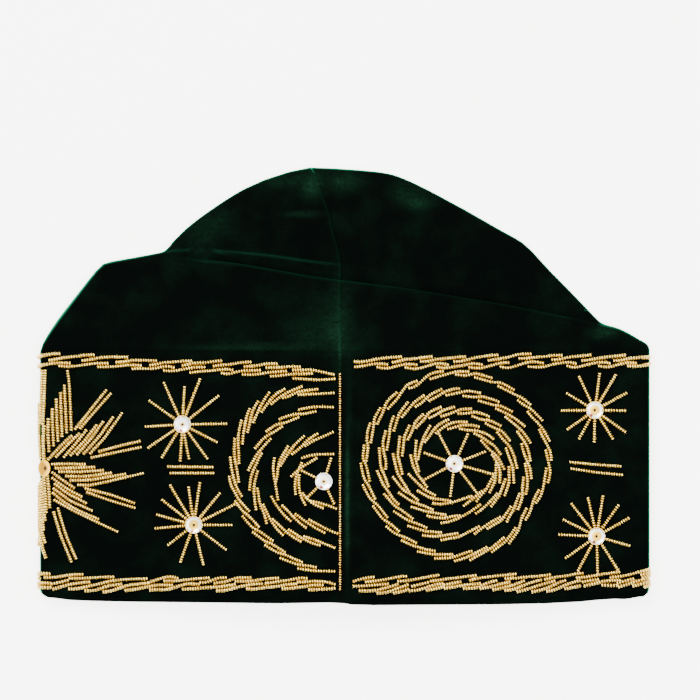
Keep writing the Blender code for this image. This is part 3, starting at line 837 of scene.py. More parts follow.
def dome_rows():
    rows = []
    left, right = LEFT_TO_FOLD + TURN_RUN, RIGHT_TO_FOLD + TURN_RUN
    low_ends = (edge_point(-1.0, left), edge_point(1.0, right))

    def low(share):
        return across(CREASE_1, low_ends, share)

    def pleat_height(x, y, share):
        return CROWN_STACK + pleat_rise(x, y, share)

    first_mark = PLEAT_MARKS[0]
    for mark in PLEAT_MARKS:
        run = PLEAT_RUN * (mark - first_mark)

        def place_of(share, ends):
            shift = np.array([0.0, mark * (1.0 - abs(share) ** LINE_PULL)])
            return across(CREASE_1, ends, share) + shift

        rows.append(crown_row((left + run, right + run), place_of, pleat_height, dip=1.0))
    left, right = left + run, right + run
    for step in range(1, DOME_ROWS + 1):
        up = step / DOME_ROWS
        up = 1.0 - (1.0 - up) ** DOME_EASE
        lengths = (left + (LEFT_TO_PEAK - left) * up, right + (RIGHT_TO_PEAK - right) * up)

        def place_of(share, ends):
            spot = blend_lines(low, peak_line, up, ends, share)
            guide = low(0.0) * (1.0 - up) + peak_line(0.0) * up
            return spot + np.array([(seam_x(spot[1]) - guide[0]) * (1.0 - abs(share)) ** 2, 0.0])

        def height_of(x, y, share):
            return CROWN_STACK + DOME_PUFF * math.sin(math.pi * up) * (1.0 - share * share)

        rows.append(crown_row(lengths, place_of, height_of, dip=1.0 - up, bulge=up**2))
    return rows


# %% Make the crown
CROWN_THICKNESS = 1.5 * MM
crown_rows = flap_rows() + turn_rows() + dome_rows()
velvet_crown = cloth_wall("velvet_crown", crown_rows, CROWN_THICKNESS, True)
paint(velvet_crown, "brushed_pile", sheen_patch_share)
print("Velvet crown:", len(velvet_crown.data.polygons), "faces")

# %% [markdown]
# The fold lines and the crown's seam show as thin green lines of painted highlight, where the pile catches
# the light. They are painted along the same lines that shaped the crown, a little stronger at the left, as in
# the photograph.

# %% Paint sheen lines along the creases and the seam
LINE_WIDTH = 0.5 * MM
SEAM_STRENGTH = 0.012
SEAM_OFFSET = 0.4 * MM
CREASE_1_STRENGTH = 0.034
CREASE_1_OFFSET = 0.3 * MM
CREASE_2_STRENGTH = 0.02
CREASE_2_OFFSET = 0.4 * MM
# Columns of the photograph between which a line grows or fades, and the share that it loses there.
CREASE_1_END = 341.0
CREASE_1_FADES = (300.0, 341.0)
CREASE_1_LOSS = 0.6
CREASE_2_STARTS = (190.0, 208.0)
CREASE_2_FADES = (345.0, 420.0)
CREASE_2_LOSS = 0.75
# Near this column the pleat leaves the crease line, so the line is fainter.
PLEAT_LEAVES_COLUMN = 199.0
PLEAT_LEAVES_WIDTH = 8.0
PLEAT_LEAVES_LOSS = 0.8
# Only the front of the cloth is painted: corners this high that don't face down.
SEEN_ABOVE = 3.2 * MM
SEEN_FACING = -0.2


# Painted highlight lines along the creases and the seam, on the front of the cloth.
def crease_sheen_share(vert, x, y):
    if vert.co.z <= SEEN_ABOVE or vert.normal.z <= SEEN_FACING:
        return 0.0
    column = MIDDLE_COLUMN + x / PIXEL
    seam = SEAM_STRENGTH * bump_shape(x - seam_x(y) + SEAM_OFFSET, LINE_WIDTH)
    upper = 0.0
    if column < CREASE_1_END:
        upper = CREASE_1_STRENGTH * bump_shape(y - line_y(CREASE_1, x) + CREASE_1_OFFSET, LINE_WIDTH)
        upper *= 1.0 - smooth_step(*CREASE_1_FADES, column) * CREASE_1_LOSS
        upper *= 1.0 - PLEAT_LEAVES_LOSS * bump_shape(column - PLEAT_LEAVES_COLUMN, PLEAT_LEAVES_WIDTH)
    lower = CREASE_2_STRENGTH * bump_shape(y - line_y(CREASE_2, x) + CREASE_2_OFFSET, LINE_WIDTH)
    lower *= smooth_step(*CREASE_2_STARTS, column)
    lower *= 1.0 - CREASE_2_LOSS * smooth_step(*CREASE_2_FADES, column)
    return min(1.0, seam + upper + lower)


def no_share(vert, x, y):
    return 0.0


paint(velvet_crown, "opened_pile", crease_sheen_share)
paint(velvet_wall, "opened_pile", no_share)

# %% [markdown]
# At the side folds the pile stands out a little past the pressed cloth, more so at the right, as
# measured. The corners nearest to a fold are moved outwards by that much.

# %% Let the pile stand out at the side folds
FOLD_PILE_LEFT = 0.5 * MM
FOLD_PILE_RIGHT = 1.3 * MM
FOLD_MARGIN = 0.5 * MM
for piece in (velvet_wall, velvet_crown):
    for vert in piece.data.vertices:
        near = smooth_step(HALF_WIDTH - EDGE_REACH, HALF_WIDTH - FOLD_MARGIN, abs(vert.co.x))
        vert.co.x += near * (FOLD_PILE_RIGHT if vert.co.x > 0.0 else -FOLD_PILE_LEFT)

# %% [markdown]
# Round the outline the white table shines through the pile, so the painted rim sheen is brightest there. On
# the creases inside the outline the same painted sheen is much dimmer.

# %% Painted light in the pile round the outline
INNER_LIGHT = 0.03
LIGHT_FADES = (1.2 * MM, 4.0 * MM)


def edge_light_share(vert, x, y):
    return 1.0 - (1.0 - INNER_LIGHT) * smooth_step(*LIGHT_FADES, edge_distance(x, y))


paint(velvet_wall, "edge_light", edge_light_share)
paint(velvet_crown, "edge_light", edge_light_share)

# %% Let the velvet ride on the hat
for piece, node in ((velvet_wall, "side_band"), (velvet_crown, "crown")):
    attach(piece, "root")
    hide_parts(node)

# %% [markdown]
# ## Metal-lined seed beads
# The embroidery is made of glass seed beads of size 11/0, galvanised in champagne gold. Each bead is a
# short, fat ring, 2 mm across, with rounded ends, so a strand looks like a ribbed rod with a row of small
# highlights. There are more than ten thousand, so one bead has only 35 faces, and smooth shading makes it
# look round. A galvanised coat is metal, so the shader is metallic with a low roughness, and each bead
# gets its own small change of tone.

# %% Materials: galvanised glass beads
def bead_finish(name, pale, deep):
    made, tree, shader = new_material(name)
    tone = add(tree, "ShaderNodeAttribute", attribute_name="bead_tone")
    shade = add(
        tree,
        "ShaderNodeMix",
        {"Factor": tone.outputs["Fac"], 6: colour(deep), 7: colour(pale)},
        data_type="RGBA",
    )
    rough = add(tree, "ShaderNodeMapRange", {"Value": tone.outputs["Fac"], "To Min": 0.3, "To Max": 0.18})
    tree.links.new(shade.outputs[2], shader.inputs["Base Color"])
    tree.links.new(rough.outputs["Result"], shader.inputs["Roughness"])
    shader.inputs["Metallic"].default_value = 1.0
    return made


bead_gold = bead_finish("galvanised_champagne_glass_beads", "#fbe07a", "#d8b14e")
seam_gold = bead_finish("galvanised_yellow_glass_beads", "#f6d67c", "#d0983a")

# %% One seed bead, its hole along Z
BEAD_RADIUS = 1.0 * MM
BEAD_LENGTH = 1.17 * MM
BEAD_PITCH = 1.19 * MM
BEAD_SIDES = 7
# Radius and place along the hole, as shares: the outside from end to end, then the narrow middle of the hole.
BEAD_PROFILE = ((0.66, -0.5), (1.0, -0.2), (1.0, 0.2), (0.66, 0.5), (0.3, 0.0))
SMALL_BEAD = 0.84


def seed_bead(name, size=1.0):
    shape = bmesh.new()
    rings = []
    for reach, along in BEAD_PROFILE:
        ring = []
        for i in range(BEAD_SIDES):
            angle = 2.0 * math.pi * i / BEAD_SIDES
            x, y = reach * BEAD_RADIUS * math.cos(angle), reach * BEAD_RADIUS * math.sin(angle)
            ring.append(shape.verts.new((x * size, y * size, along * BEAD_LENGTH * size)))
        rings.append(ring)
    for lower, upper in zip(rings, rings[1:] + rings[:1]):
        for i in range(BEAD_SIDES):
            j = (i + 1) % BEAD_SIDES
            shape.faces.new((lower[i], lower[j], upper[j], upper[i]))
    bmesh.ops.recalc_face_normals(shape, faces=shape.faces)
    mesh = bpy.data.meshes.new(name)
    shape.to_mesh(mesh)
    shape.free()
    mesh.shade_smooth()
    made = bpy.data.objects.new(name, mesh)
    bpy.context.scene.collection.objects.link(made)
    made.hide_render = True
    return made


bead = seed_bead("seed_bead")
small_bead = seed_bead("small_seed_bead", SMALL_BEAD)
print("Faces of one bead:", len(bead.data.polygons))

# %% [markdown]
# ## Stringing beads with Geometry Nodes
# A strand is only a thread, drawn as a few joined points. The tree walks each thread in steps of one
# bead, turns a bead along it, tilts it a little as a hand-sewn bead sits, and gives it a tone of its own.
# At the end the copies are made real and get their material, because the export keeps no instances.

# %% Build the stringing tree
string_tree = bpy.data.node_groups.new("string_the_beads", "GeometryNodeTree")
for label, kind in (
    ("Threads", "NodeSocketGeometry"),
    ("Bead", "NodeSocketObject"),
    ("Bead pitch", "NodeSocketFloat"),
    ("Tilt", "NodeSocketFloat"),
    ("Size unevenness", "NodeSocketFloat"),
    ("Seed", "NodeSocketInt"),
    ("Finish", "NodeSocketMaterial"),
):
    string_tree.interface.new_socket(label, in_out="INPUT", socket_type=kind)
string_tree.interface.new_socket("Beadwork", in_out="OUTPUT", socket_type="NodeSocketGeometry")

given = add(string_tree, "NodeGroupInput").outputs
threads = add(string_tree, "GeometryNodeMeshToCurve", {"Mesh": given["Threads"]})
spots = add(
    string_tree,
    "GeometryNodeCurveToPoints",
    {"Curve": threads.outputs["Curve"], "Length": given["Bead pitch"]},
    mode="LENGTH",
)
facing = add(
    string_tree, "FunctionNodeAlignRotationToVector", {"Vector": spots.outputs["Tangent"]}, axis="Z"
)
lean = add(string_tree, "ShaderNodeCombineXYZ", {"X": given["Tilt"], "Y": given["Tilt"], "Z": math.pi})
lean_back = add(string_tree, "ShaderNodeVectorMath", {0: lean.outputs[0], "Scale": -1.0}, operation="SCALE")
wobble = add(
    string_tree,
    "FunctionNodeRandomValue",
    {0: lean_back.outputs[0], 1: lean.outputs[0], "Seed": given["Seed"]},
    data_type="FLOAT_VECTOR",
)
wobble_turn = add(string_tree, "FunctionNodeEulerToRotation", {"Euler": wobble.outputs[0]})
seated = add(
    string_tree,
    "FunctionNodeRotateRotation",
    {"Rotation": facing.outputs["Rotation"], "Rotate By": wobble_turn.outputs["Rotation"]},
    rotation_space="LOCAL",
)
smallest = add(string_tree, "ShaderNodeMath", {0: 1.0, 1: given["Size unevenness"]}, operation="SUBTRACT")
largest = add(string_tree, "ShaderNodeMath", {0: 1.0, 1: given["Size unevenness"]}, operation="ADD")
size = add(
    string_tree,
    "FunctionNodeRandomValue",
    {2: smallest.outputs[0], 3: largest.outputs[0], "Seed": given["Seed"]},
    data_type="FLOAT",
)
tone_value = add(string_tree, "FunctionNodeRandomValue", {2: 0.0, 3: 1.0, "Seed": 41}, data_type="FLOAT")
bead_shape = add(string_tree, "GeometryNodeObjectInfo", {"Object": given["Bead"], "As Instance": True})
copies = add(
    string_tree,
    "GeometryNodeInstanceOnPoints",
    {
        "Points": spots.outputs["Points"],
        "Instance": bead_shape.outputs["Geometry"],
        "Rotation": seated.outputs["Rotation"],
        "Scale": size.outputs[1],
    },
)
toned = add(
    string_tree,
    "GeometryNodeStoreNamedAttribute",
    {"Geometry": copies.outputs["Instances"], "Name": "bead_tone", "Value": tone_value.outputs[1]},
    data_type="FLOAT",
    domain="INSTANCE",
)
real = add(string_tree, "GeometryNodeRealizeInstances", {"Geometry": toned.outputs["Geometry"]})
finished = add(
    string_tree,
    "GeometryNodeSetMaterial",
    {"Geometry": real.outputs["Geometry"], "Material": given["Finish"]},
)
add(string_tree, "NodeGroupOutput", {"Beadwork": finished.outputs["Geometry"]})


# %% String a set of threads
BEAD_TILT = 0.05
BEAD_UNEVEN = 0.03
FACES_A_BEAD = len(bead.data.polygons)


def string_beads(
    name, threads, seed, pitch=BEAD_PITCH, finish=bead_gold, shape=bead, tilt=BEAD_TILT, uneven=BEAD_UNEVEN
):
    """threads: lists of places above the rim. Returns the beads as one plain mesh object."""
    points, edges = [], []
    for thread in threads:
        first = len(points)
        points += [spot - Vector((0.0, HAT_HEIGHT / 2.0, 0.0)) for spot in thread]
        edges += [(i, i + 1) for i in range(first, len(points) - 1)]
    mesh = bpy.data.meshes.new(name)
    mesh.from_pydata(points, edges, [])
    piece = bpy.data.objects.new(name, mesh)
    bpy.context.scene.collection.objects.link(piece)
    stringing = piece.modifiers.new("Stringing", "NODES")
    stringing.node_group = string_tree
    values = {
        "Bead": shape,
        "Bead pitch": pitch,
        "Tilt": tilt,
        "Size unevenness": uneven,
        "Seed": seed,
        "Finish": finish,
    }
    for item in string_tree.interface.items_tree:
        if item.in_out == "INPUT" and item.name in values:
            stringing[item.identifier] = values[item.name]
    ready = piece.evaluated_get(bpy.context.evaluated_depsgraph_get())
    made = bpy.data.meshes.new_from_object(ready)
    piece.modifiers.remove(stringing)
    piece.data = made
    made.name = name
    print(name, "has", len(threads), "strands and", len(made.polygons) // FACES_A_BEAD, "beads")
    return piece


# %% [markdown]
# ## Laying a strand on the cloth
# A strand is drawn flat, as on the photograph, then each of its points is set on the cloth, one bead
# radius above it along the cloth's own normal. Its middle stands a little proud, as a sewn strand does.
# On the back the hat rests on its beads, so the strands there lie close to the cloth.

# %% Place on the cloth, and a strand through flat points
SLOPE_STEP = 0.3 * MM
SEAT = 0.97
FRONT_ARCH = 0.35 * MM
BACK_ARCH = 0.05 * MM
THREAD_STEP = 1.0 * MM
STRAND_BEND = 3.0 * MM
FULL_ARCH_LENGTH = 12.0 * MM
AT_FOLD = HALF_WIDTH - 0.01 * MM


def cloth_normal(face, x, y):
    low = max(-HALF_WIDTH, x - SLOPE_STEP)
    high = min(HALF_WIDTH, x + SLOPE_STEP)
    along_x = Vector((high - low, 0.0, cloth_height(face, high, y) - cloth_height(face, low, y)))
    rise = cloth_height(face, x, y + SLOPE_STEP) - cloth_height(face, x, y - SLOPE_STEP)
    out = along_x.cross(Vector((0.0, 2.0 * SLOPE_STEP, rise))).normalized()
    if abs(x) > AT_FOLD:
        return Vector((math.copysign(1.0, x), 0.0, 0.0))
    return out if face == "front" else -out


def on_cloth(face, x, y, lift):
    x = min(HALF_WIDTH, max(-HALF_WIDTH, x))
    return Vector((x, y, cloth_height(face, x, y))) + cloth_normal(face, x, y) * lift


def strand(face, corners, bend=STRAND_BEND, arch=None):
    """A thread of beads along flat corners, in metres."""
    line = soft_line(corners, bend)
    lengths = lengths_along(line)
    count = max(2, int(lengths[-1] / THREAD_STEP) + 1)
    arch = (FRONT_ARCH if face == "front" else BACK_ARCH) if arch is None else arch
    thread = []
    for i in range(count + 1):
        x, y = point_at(line, lengths, lengths[-1] * i / count)
        rise = arch * math.sin(math.pi * i / count) * min(1.0, lengths[-1] / FULL_ARCH_LENGTH)
        thread.append(on_cloth(face, float(x), float(y), BEAD_RADIUS * SEAT + rise))
    return thread


beadwork = []

# %% [markdown]
# ## Stars and bars
# Each star is a ring of single strands round a sequin, and between the upper and the lower star lie two
# short bars. The tips are read off the photograph. On the back, which it doesn't show, the two left stars
# are repeated at both sides, and the rosette and its spokes are moved to the back's middle.

# %% Tips of the rays and ends of the bars, in pixels of the photograph
STAR_UPPER_LEFT = (
    (182.8, 424.3),
    ((164.4, 383), (184.9, 387.2), (200.4, 379.1), (218.8, 396), (226.8, 423.7), (217.2, 441.9),
     (207.7, 458.3),
     (189.3, 458.3), (180.7, 460.6), (162.5, 457.2), (148.7, 447.6), (146.1, 426.6), (149.9, 400.9)),
)
STAR_LOWER_LEFT = (
    (194.3, 524.7),
    ((170.8, 485.3), (189.2, 487.3), (200.4, 482.9), (220.2, 493.1), (234.7, 504.3), (232, 524.7),
     (226.3, 549.2),
     (203.9, 564.1), (181, 561.4), (168.8, 544.7), (155.9, 528.2), (157.6, 514.5), (162.7, 499.6)),
)
STAR_UPPER_RIGHT = (
    (594.5, 410.2),
    ((578.8, 376.8), (599.3, 373.9), (615.3, 375), (625.9, 393.1), (624.7, 410.6), (624.7, 431.9),
     (612.3, 438.5),
     (593.9, 441.6), (578.8, 438.5), (567.1, 429.3), (561.3, 410.6), (566.5, 393.4)),
)
STAR_LOWER_RIGHT = (
    (596.3, 536.2),
    ((571.1, 503.7), (587.6, 497.9), (602.6, 496.1), (617.9, 505.2), (628.1, 518.2), (628.8, 545.6),
     (617.3, 569.4),
     (597.3, 573.1), (577.6, 570.3), (565.3, 557.9), (558.8, 534.5), (563.1, 519.5)),
)
ROSETTE_SPOKES = (
    (454.0, 463.6),
    ((438.4, 433.7), (467.3, 434.3), (484.4, 451.7), (492.2, 474), (475.7, 491.8), (449.9, 495.7),
     (423.2, 479.9),
     (424.3, 452.8)),
)
HALF_ROSETTE_SPOKES = ((323.9, 481.2), ((331, 458.4), (302.4, 470.6), (306.5, 498), (334, 503)))
FRONT_BARS = (
    ((168.5, 466.5), (213, 467)),
    ((171, 473), (214, 473)),
    ((570, 462), (596, 464.5), (620, 466.2)),
    ((571, 468.6), (597, 472.5), (621.7, 474.8)),
)
HUB = 8.6
BACK_STAR_COLUMNS = (172.1, 431.9)
BACK_STAR_ROWS = (419.1, 530.4)
BACK_BARS = ((467, -22, 22), (474, -21, 23))
BACK_SHIFT = (306.1 - 454.0, 466.9 - 463.6)


def star_rays(face, middle, tips, shift=(0.0, 0.0)):
    rays = []
    for tip in tips:
        away = math.dist(middle, tip)
        start = [m + (t - m) * HUB / away for m, t in zip(middle, tip)]
        start = (start[0] + shift[0], start[1] + shift[1])
        tip = (tip[0] + shift[0], tip[1] + shift[1])
        rays.append(strand(face, photo_line(start, tip)))
    return rays


# %% String the stars, the spokes and the bars
front_stars = []
for middle, tips in (STAR_UPPER_LEFT, STAR_LOWER_LEFT, STAR_UPPER_RIGHT, STAR_LOWER_RIGHT):
    front_stars += star_rays("front", middle, tips)
front_stars += [strand("front", photo_line(*bar)) for bar in FRONT_BARS]
spokes = star_rays("front", *ROSETTE_SPOKES) + star_rays("front", *HALF_ROSETTE_SPOKES)
beadwork.append((string_beads("star_beads_front", front_stars, seed=3), ()))
beadwork.append((string_beads("spoke_beads", spokes, seed=4), ()))

back_stars = []
for row, (middle, tips) in zip(BACK_STAR_ROWS, (STAR_UPPER_LEFT, STAR_LOWER_LEFT)):
    for column in BACK_STAR_COLUMNS:
        back_stars += star_rays("back", middle, tips, (column - middle[0], row - middle[1]))
for column in BACK_STAR_COLUMNS:
    for row, left, right in BACK_BARS:
        back_stars.append(strand("back", photo_line((column + left, row), (column + right, row))))
back_spokes = star_rays("back", *ROSETTE_SPOKES, BACK_SHIFT)
beadwork.append((string_beads("star_beads_back", back_stars + back_spokes, seed=5), ()))

# %% [markdown]
# ## Rope-stitch rings
# Round each rosette lie rings of rope stitch: short strands that overlap by a third. Each starts on the
# inside of the ring, crosses over and ends on its outside, so two strands lie side by side at each
# overlap. The photograph doesn't show the back, so its rings follow one rule: the offset of a strand
# along its length, repeated round a slightly oval path. Every strand gets a small change of length and
# offset, with a fixed seed.

# %% A ring of rope stitch
ROPE_OFFSET = 2.2
ROPE_CROSSING = 0.7
BACK_RINGS = {
    # middle column and row, half width and half height in pixels, strands, length of a strand in pixels
    "back_ring_1": (456.7, 464.8, 91.4, 91.4, 27, 38.0),
    "back_ring_2": (454.8, 463.9, 72.4, 72.2, 24, 35.0),
    "back_ring_3": (454.2, 464.4, 56.6, 54.0, 21, 31.0),
    "back_ring_4": (455.6, 463.4, 41.6, 38.4, 17, 29.0),
}
LENGTH_CHANGE = (0.94, 1.07)
START_CHANGE = 0.06
OFFSET_CHANGE = 0.6
OVERLAP_LIMITS = (0.1, 0.5)
RING_STRAND_STEPS = 12
RING_STRAND_BEND = 1.0 * MM


def rope_offset(share, overlap):
    beside = ROPE_CROSSING * overlap
    return ROPE_OFFSET * (2.0 * smooth_step(beside, 1.0 - beside, share) - 1.0)


def ring_threads(face, ring, shift, seed):
    column, row, half_width, half_height, count, length = ring
    chance = random.Random(seed)
    round_length = math.pi * (half_width + half_height)
    pitch = 2.0 * math.pi / count
    start = chance.uniform(0.0, pitch)
    threads = []
    for number in range(count):
        own_length = length * chance.uniform(*LENGTH_CHANGE)
        sweep = own_length / round_length * 2.0 * math.pi
        first = start + number * pitch + chance.uniform(-START_CHANGE, START_CHANGE) * pitch
        overlap = 1.0 - round_length / count / own_length
        overlap = min(OVERLAP_LIMITS[1], max(OVERLAP_LIMITS[0], overlap))
        outwards = chance.uniform(-OFFSET_CHANGE, OFFSET_CHANGE)
        points = []
        for i in range(RING_STRAND_STEPS + 1):
            share = i / RING_STRAND_STEPS
            angle = first + sweep * share
            away = rope_offset(share, overlap) + outwards
            x = column + shift[0] + (half_width + away) * math.sin(angle)
            y = row + shift[1] - (half_height + away) * math.cos(angle)
            points.append((x, y))
        threads.append(strand(face, photo_line(*points), bend=RING_STRAND_BEND))
    return threads


# %% String the rings of the back
BACK_RING_SEED = 70
BACK_BEAD_SEED = 40
for number, (name, ring) in enumerate(BACK_RINGS.items()):
    threads = ring_threads("back", ring, BACK_SHIFT, BACK_RING_SEED + number)
    beadwork.append((string_beads("beads_" + name, threads, BACK_BEAD_SEED + number), (name,)))

# %% [markdown]
# ## The full rosette and the half rosette
# On the front each strand is given by the few places where it bends, from its inner end to its outer end.
# A rule would miss how uneven the hand's work is. The half rosette stops at the middle seam: there some
# strands lie side by side for half their length, and each ring ends in one straight strand.

# %% Strands of the full rosette, in pixels
ROSETTE_RING_STRANDS = {
    "rosette_ring_1": (
        ((366.3, 460.4), (368.5, 445.1), (366.3, 442.5), (366.6, 436.2), (367.6, 429.8), (369.8, 423.4)),
        ((370.8, 442.2), (373.8, 425.3), (373.3, 421.8), (373.9, 418.3), (380, 408.1)),
        ((377.1, 423.7), (383.8, 410.6), (384.1, 406.8), (385.4, 403.6), (388.6, 399.2), (396.3, 392.5)),
        ((388, 408.7), (397.5, 398.5), (402, 390.9), (407.4, 384), (416.4, 381)),
        ((409, 388.3), (412.2, 388), (418.3, 384.5), (426.2, 376.2),
         (430.1, 373.7), (437.7, 371.7), (442.5, 371.4)),
        ((430.1, 379.1), (457.3, 371.2), (467.8, 371.7)),
        ((455.6, 374.7), (464.3, 375.9), (468.8, 375.2), (475.1, 373), (491.1, 377.8)),
        ((474.5, 377.5), (491.1, 382.3), (495.5, 382.6), (499.4, 381.9), (513.4, 389.6)),
        ((498.1, 386.4), (518.5, 396.6), (521.7, 397.2), (526.2, 401.7), (530, 404.3)),
        ((517.5, 400.4), (523.6, 405.5), (530.6, 408.7), (541.8, 420.2)),
        ((527.4, 411.9), (530, 415.7), (542.1, 427.9), (549.1, 440.6)),
        ((538.9, 429.8), (542.7, 438.1), (550.4, 451.5), (551, 459.8)),
        ((545.3, 450.5), (550.3, 472.3), (547.7, 482.2)),
        ((545.9, 468.5), (542.1, 490.8), (539.9, 497.2), (535.7, 502.6)),
        ((538.3, 490.1), (532.8, 499.7), (530, 511.2), (525.2, 519.5)),
        ((525.8, 508.6), (521.7, 515.7), (517.5, 531), (508.6, 543.1)),
        ((514.7, 527.8), (505.1, 541.2), (491.4, 551.7)),
        ((503.2, 537.3), (492.4, 546.3), (484.7, 551.4), (469.7, 559.7)),
        ((486, 546.9), (470.3, 555.2), (462.4, 558.4), (454.3, 560.6)),
        ((471, 550.7), (467.5, 551.4), (449.8, 557.8), (434.5, 558.1)),
        ((451.8, 553.9), (430.7, 553.9), (417.3, 551.1)),
        ((434.2, 550.4), (425.6, 549.1), (417.9, 546.3), (414.1, 546.3), (401.4, 540.2)),
        ((415.7, 542.4), (404.6, 536.4), (401.4, 536.1), (393.7, 532.9), (386.1, 526.2)),
        ((398.5, 530.6), (389.2, 522.4), (382.9, 519.5), (373, 506.1)),
        ((387, 516.9), (377.8, 504.8), (375.2, 502.3), (372, 501), (368.8, 497.2), (362.8, 485)),
        ((374.9, 498.1), (367.6, 483.1), (365, 481.2), (363.4, 477.4), (360.6, 463.4)),
        ((369.5, 480.6), (366, 464.2), (362.1, 458.5), (364.1, 445.4)),
    ),
    "rosette_ring_2": (
        ((385.4, 468.7), (386.1, 464.2), (385.4, 458.5), (383.8, 453.4), (382.2, 442.5), (385.4, 431.1)),
        ((386.7, 449.5), (389.2, 435.5), (389.9, 425.3), (393.4, 416.4)),
        ((393.7, 430.4), (397.9, 417.7), (397.5, 415.1), (407.4, 402.4)),
        ((401.7, 417), (410.9, 406.2), (412.2, 403.6), (423.4, 395.3)),
        ((415.4, 406.8), (423.1, 401.7), (426.9, 397.2), (430.7, 394.1), (440.9, 389.3)),
        ((428.8, 400.8), (441.5, 394.1), (443.5, 391.5), (456.2, 388.2), (458.6, 388.6)),
        ((446, 395.3), (458, 393.1), (465, 390.9), (468.8, 390.9), (479.6, 392.8)),
        ((463, 396), (472.6, 397.2), (477.7, 397.2), (480.2, 396), (494.3, 399.8), (498.1, 401.7)),
        ((478.3, 400.8), (495.5, 405.9), (498.1, 404.6), (511.5, 411.3)),
        ((495.5, 408.7), (504.5, 412.6), (514.7, 418.3), (524.2, 425.9)),
        ((505.1, 417), (522.3, 431.1), (530, 442.5)),
        ((516.9, 431.7), (526.2, 445.1), (528.7, 453.4), (530, 460.4)),
        ((521.1, 444.1), (523.3, 453.4), (526.2, 461), (529.7, 467.4), (530.9, 478.1)),
        ((524.6, 463.7), (527.1, 478.7), (526.8, 487.6), (525.5, 493.7)),
        ((523, 477.7), (521.4, 490.8), (522.3, 494.6), (521.7, 498.4), (517.5, 509)),
        ((518.8, 493.7), (514, 505.5), (513.7, 508.6), (507.7, 518.2), (506.4, 521.4)),
        ((510.2, 506.7), (502.9, 516.9), (501.9, 519.5), (486.9, 528.4)),
        ((499.4, 516.9), (486.6, 523.9), (474.2, 533.5)),
        ((478.3, 526.2), (458.6, 536.7), (440.9, 539.7)),
        ((456.9, 532.9), (434.5, 536.4), (422.4, 535.1)),
        ((440.6, 531.9), (424.3, 531), (407.7, 525.5)),
        ((425.9, 527.1), (417.9, 523.6), (407.1, 520.1), (393.7, 511.2)),
        ((412.2, 518.2), (400.7, 509.3), (394.4, 506.1), (384.1, 494)),
        ((398.2, 503.9), (393.7, 499.7), (386.7, 489.2), (383.5, 486), (377.1, 471.1)),
        ((388.3, 486), (383.5, 472.9), (380.3, 467.2), (379, 448.2)),
    ),
    "rosette_ring_3": (
        ((402, 473.6), (399.1, 460.8), (397.2, 456.3), (399.5, 436.8)),
        ((402, 455.3), (403.6, 442.5), (403.6, 436.8), (409, 425.6)),
        ((407.7, 439.3), (413.5, 427.9), (412.8, 424.7), (418.6, 417.7), (422.7, 414.5)),
        ((416, 427.5), (425.6, 417.7), (426.2, 414.5), (430.1, 411.3), (440.3, 407.1)),
        ((429.1, 418), (436.4, 414.5), (442.8, 410), (453.7, 407.1)),
        ((440.9, 416.4), (453, 412.6), (458.8, 409.5), (463.7, 408.7), (470.7, 408.9)),
        ((457.9, 413.5), (466.8, 413.5), (470.7, 412.9), (473.2, 411.4), (482.8, 413.8), (488.5, 416.4)),
        ((471.9, 416.1), (480.2, 419.6), (484.7, 420.2), (488.5, 419.6), (500, 425.6)),
        ((485.3, 423.4), (489.2, 425.9), (498.1, 429.8), (501.3, 430.4), (509.3, 440.3)),
        ((497.1, 432.6), (503.2, 440.6), (509.6, 446.4), (513.4, 455.3), (516.6, 467.8)),
        ((505.4, 448.3), (512.4, 467.8), (513.4, 482.5)),
        ((508.3, 466.9), (508.6, 482.5), (504.2, 495.2)),
        ((504.8, 479.3), (500, 491.4), (499.4, 494.6), (490.8, 506.1)),
        ((496.8, 493.7), (481.5, 509.3), (475.5, 513.1)),
        ((479.6, 504.5), (468.8, 512.2), (456, 519.2), (446.4, 522), (440.9, 522.7)),
        ((459.4, 515.3), (451.8, 515.7), (442.8, 518.2), (431.3, 516.9), (426.9, 515.5)),
        ((445.1, 514.4), (424.3, 510.9), (411.3, 506.7)),
        ((432.3, 509.3), (423.7, 505.5), (411.6, 501.6), (398.8, 492.7)),
        ((417.6, 500), (410.9, 494), (403.9, 490.8), (400.7, 487.6), (392.8, 476.8)),
        ((408.7, 491.1), (396.9, 472.9), (392.8, 454)),
    ),
    "rosette_ring_4": (
        ((426.6, 486.6), (416.7, 473.6), (414.1, 469.1), (412.2, 464.6), (410.3, 455.3)),
        ((418.6, 471), (414.4, 456.5), (416, 440.6)),
        ((417.9, 459.1), (419.9, 448.3), (422.4, 439.3), (424.6, 434.2), (429.7, 425.9)),
        ((424.6, 441.9), (430.1, 434.9), (433.3, 429.1), (436.4, 425.9), (444.1, 420.8), (447.9, 419.6)),
        ((435.5, 433), (445.4, 425.3), (452.4, 422.4), (456.2, 421.6), (466.2, 421.8)),
        ((447.6, 429.1), (457.3, 426.6), (459.2, 425.4), (463.7, 425), (473.9, 425.3), (478.3, 426.6)),
        ((459.2, 428.8), (471.3, 430.7), (474.5, 429.8), (487.2, 434.2), (492.7, 438.7)),
        ((473.9, 433.6), (484.7, 438.7), (487.2, 441.9), (493, 444.4), (500, 454)),
        ((480.6, 440.6), (489.8, 450.8), (493, 452.7), (498.1, 457.8), (503.5, 468.8)),
        ((491.4, 454.6), (498.4, 464.9), (499.7, 474.2), (499, 482.2)),
        ((495.7, 462.7), (494.3, 481.9), (489.2, 492.1)),
        ((492.4, 477.1), (488.5, 483.1), (485.7, 489.5), (480.2, 495.2), (476.1, 501)),
        ((483.7, 490.1), (480.2, 491.4), (472.6, 498.4), (463.3, 505.5)),
        ((471, 495.9), (451.1, 502.3), (442.2, 503.9), (437.1, 503.9), (432.6, 502.9)),
        ((449.8, 500.7), (440.9, 499.1), (432, 498.4), (428.2, 497.2), (417.3, 490.5)),
        ((434.5, 494.9), (423.1, 488.9), (408.4, 473.9)),
    ),
}

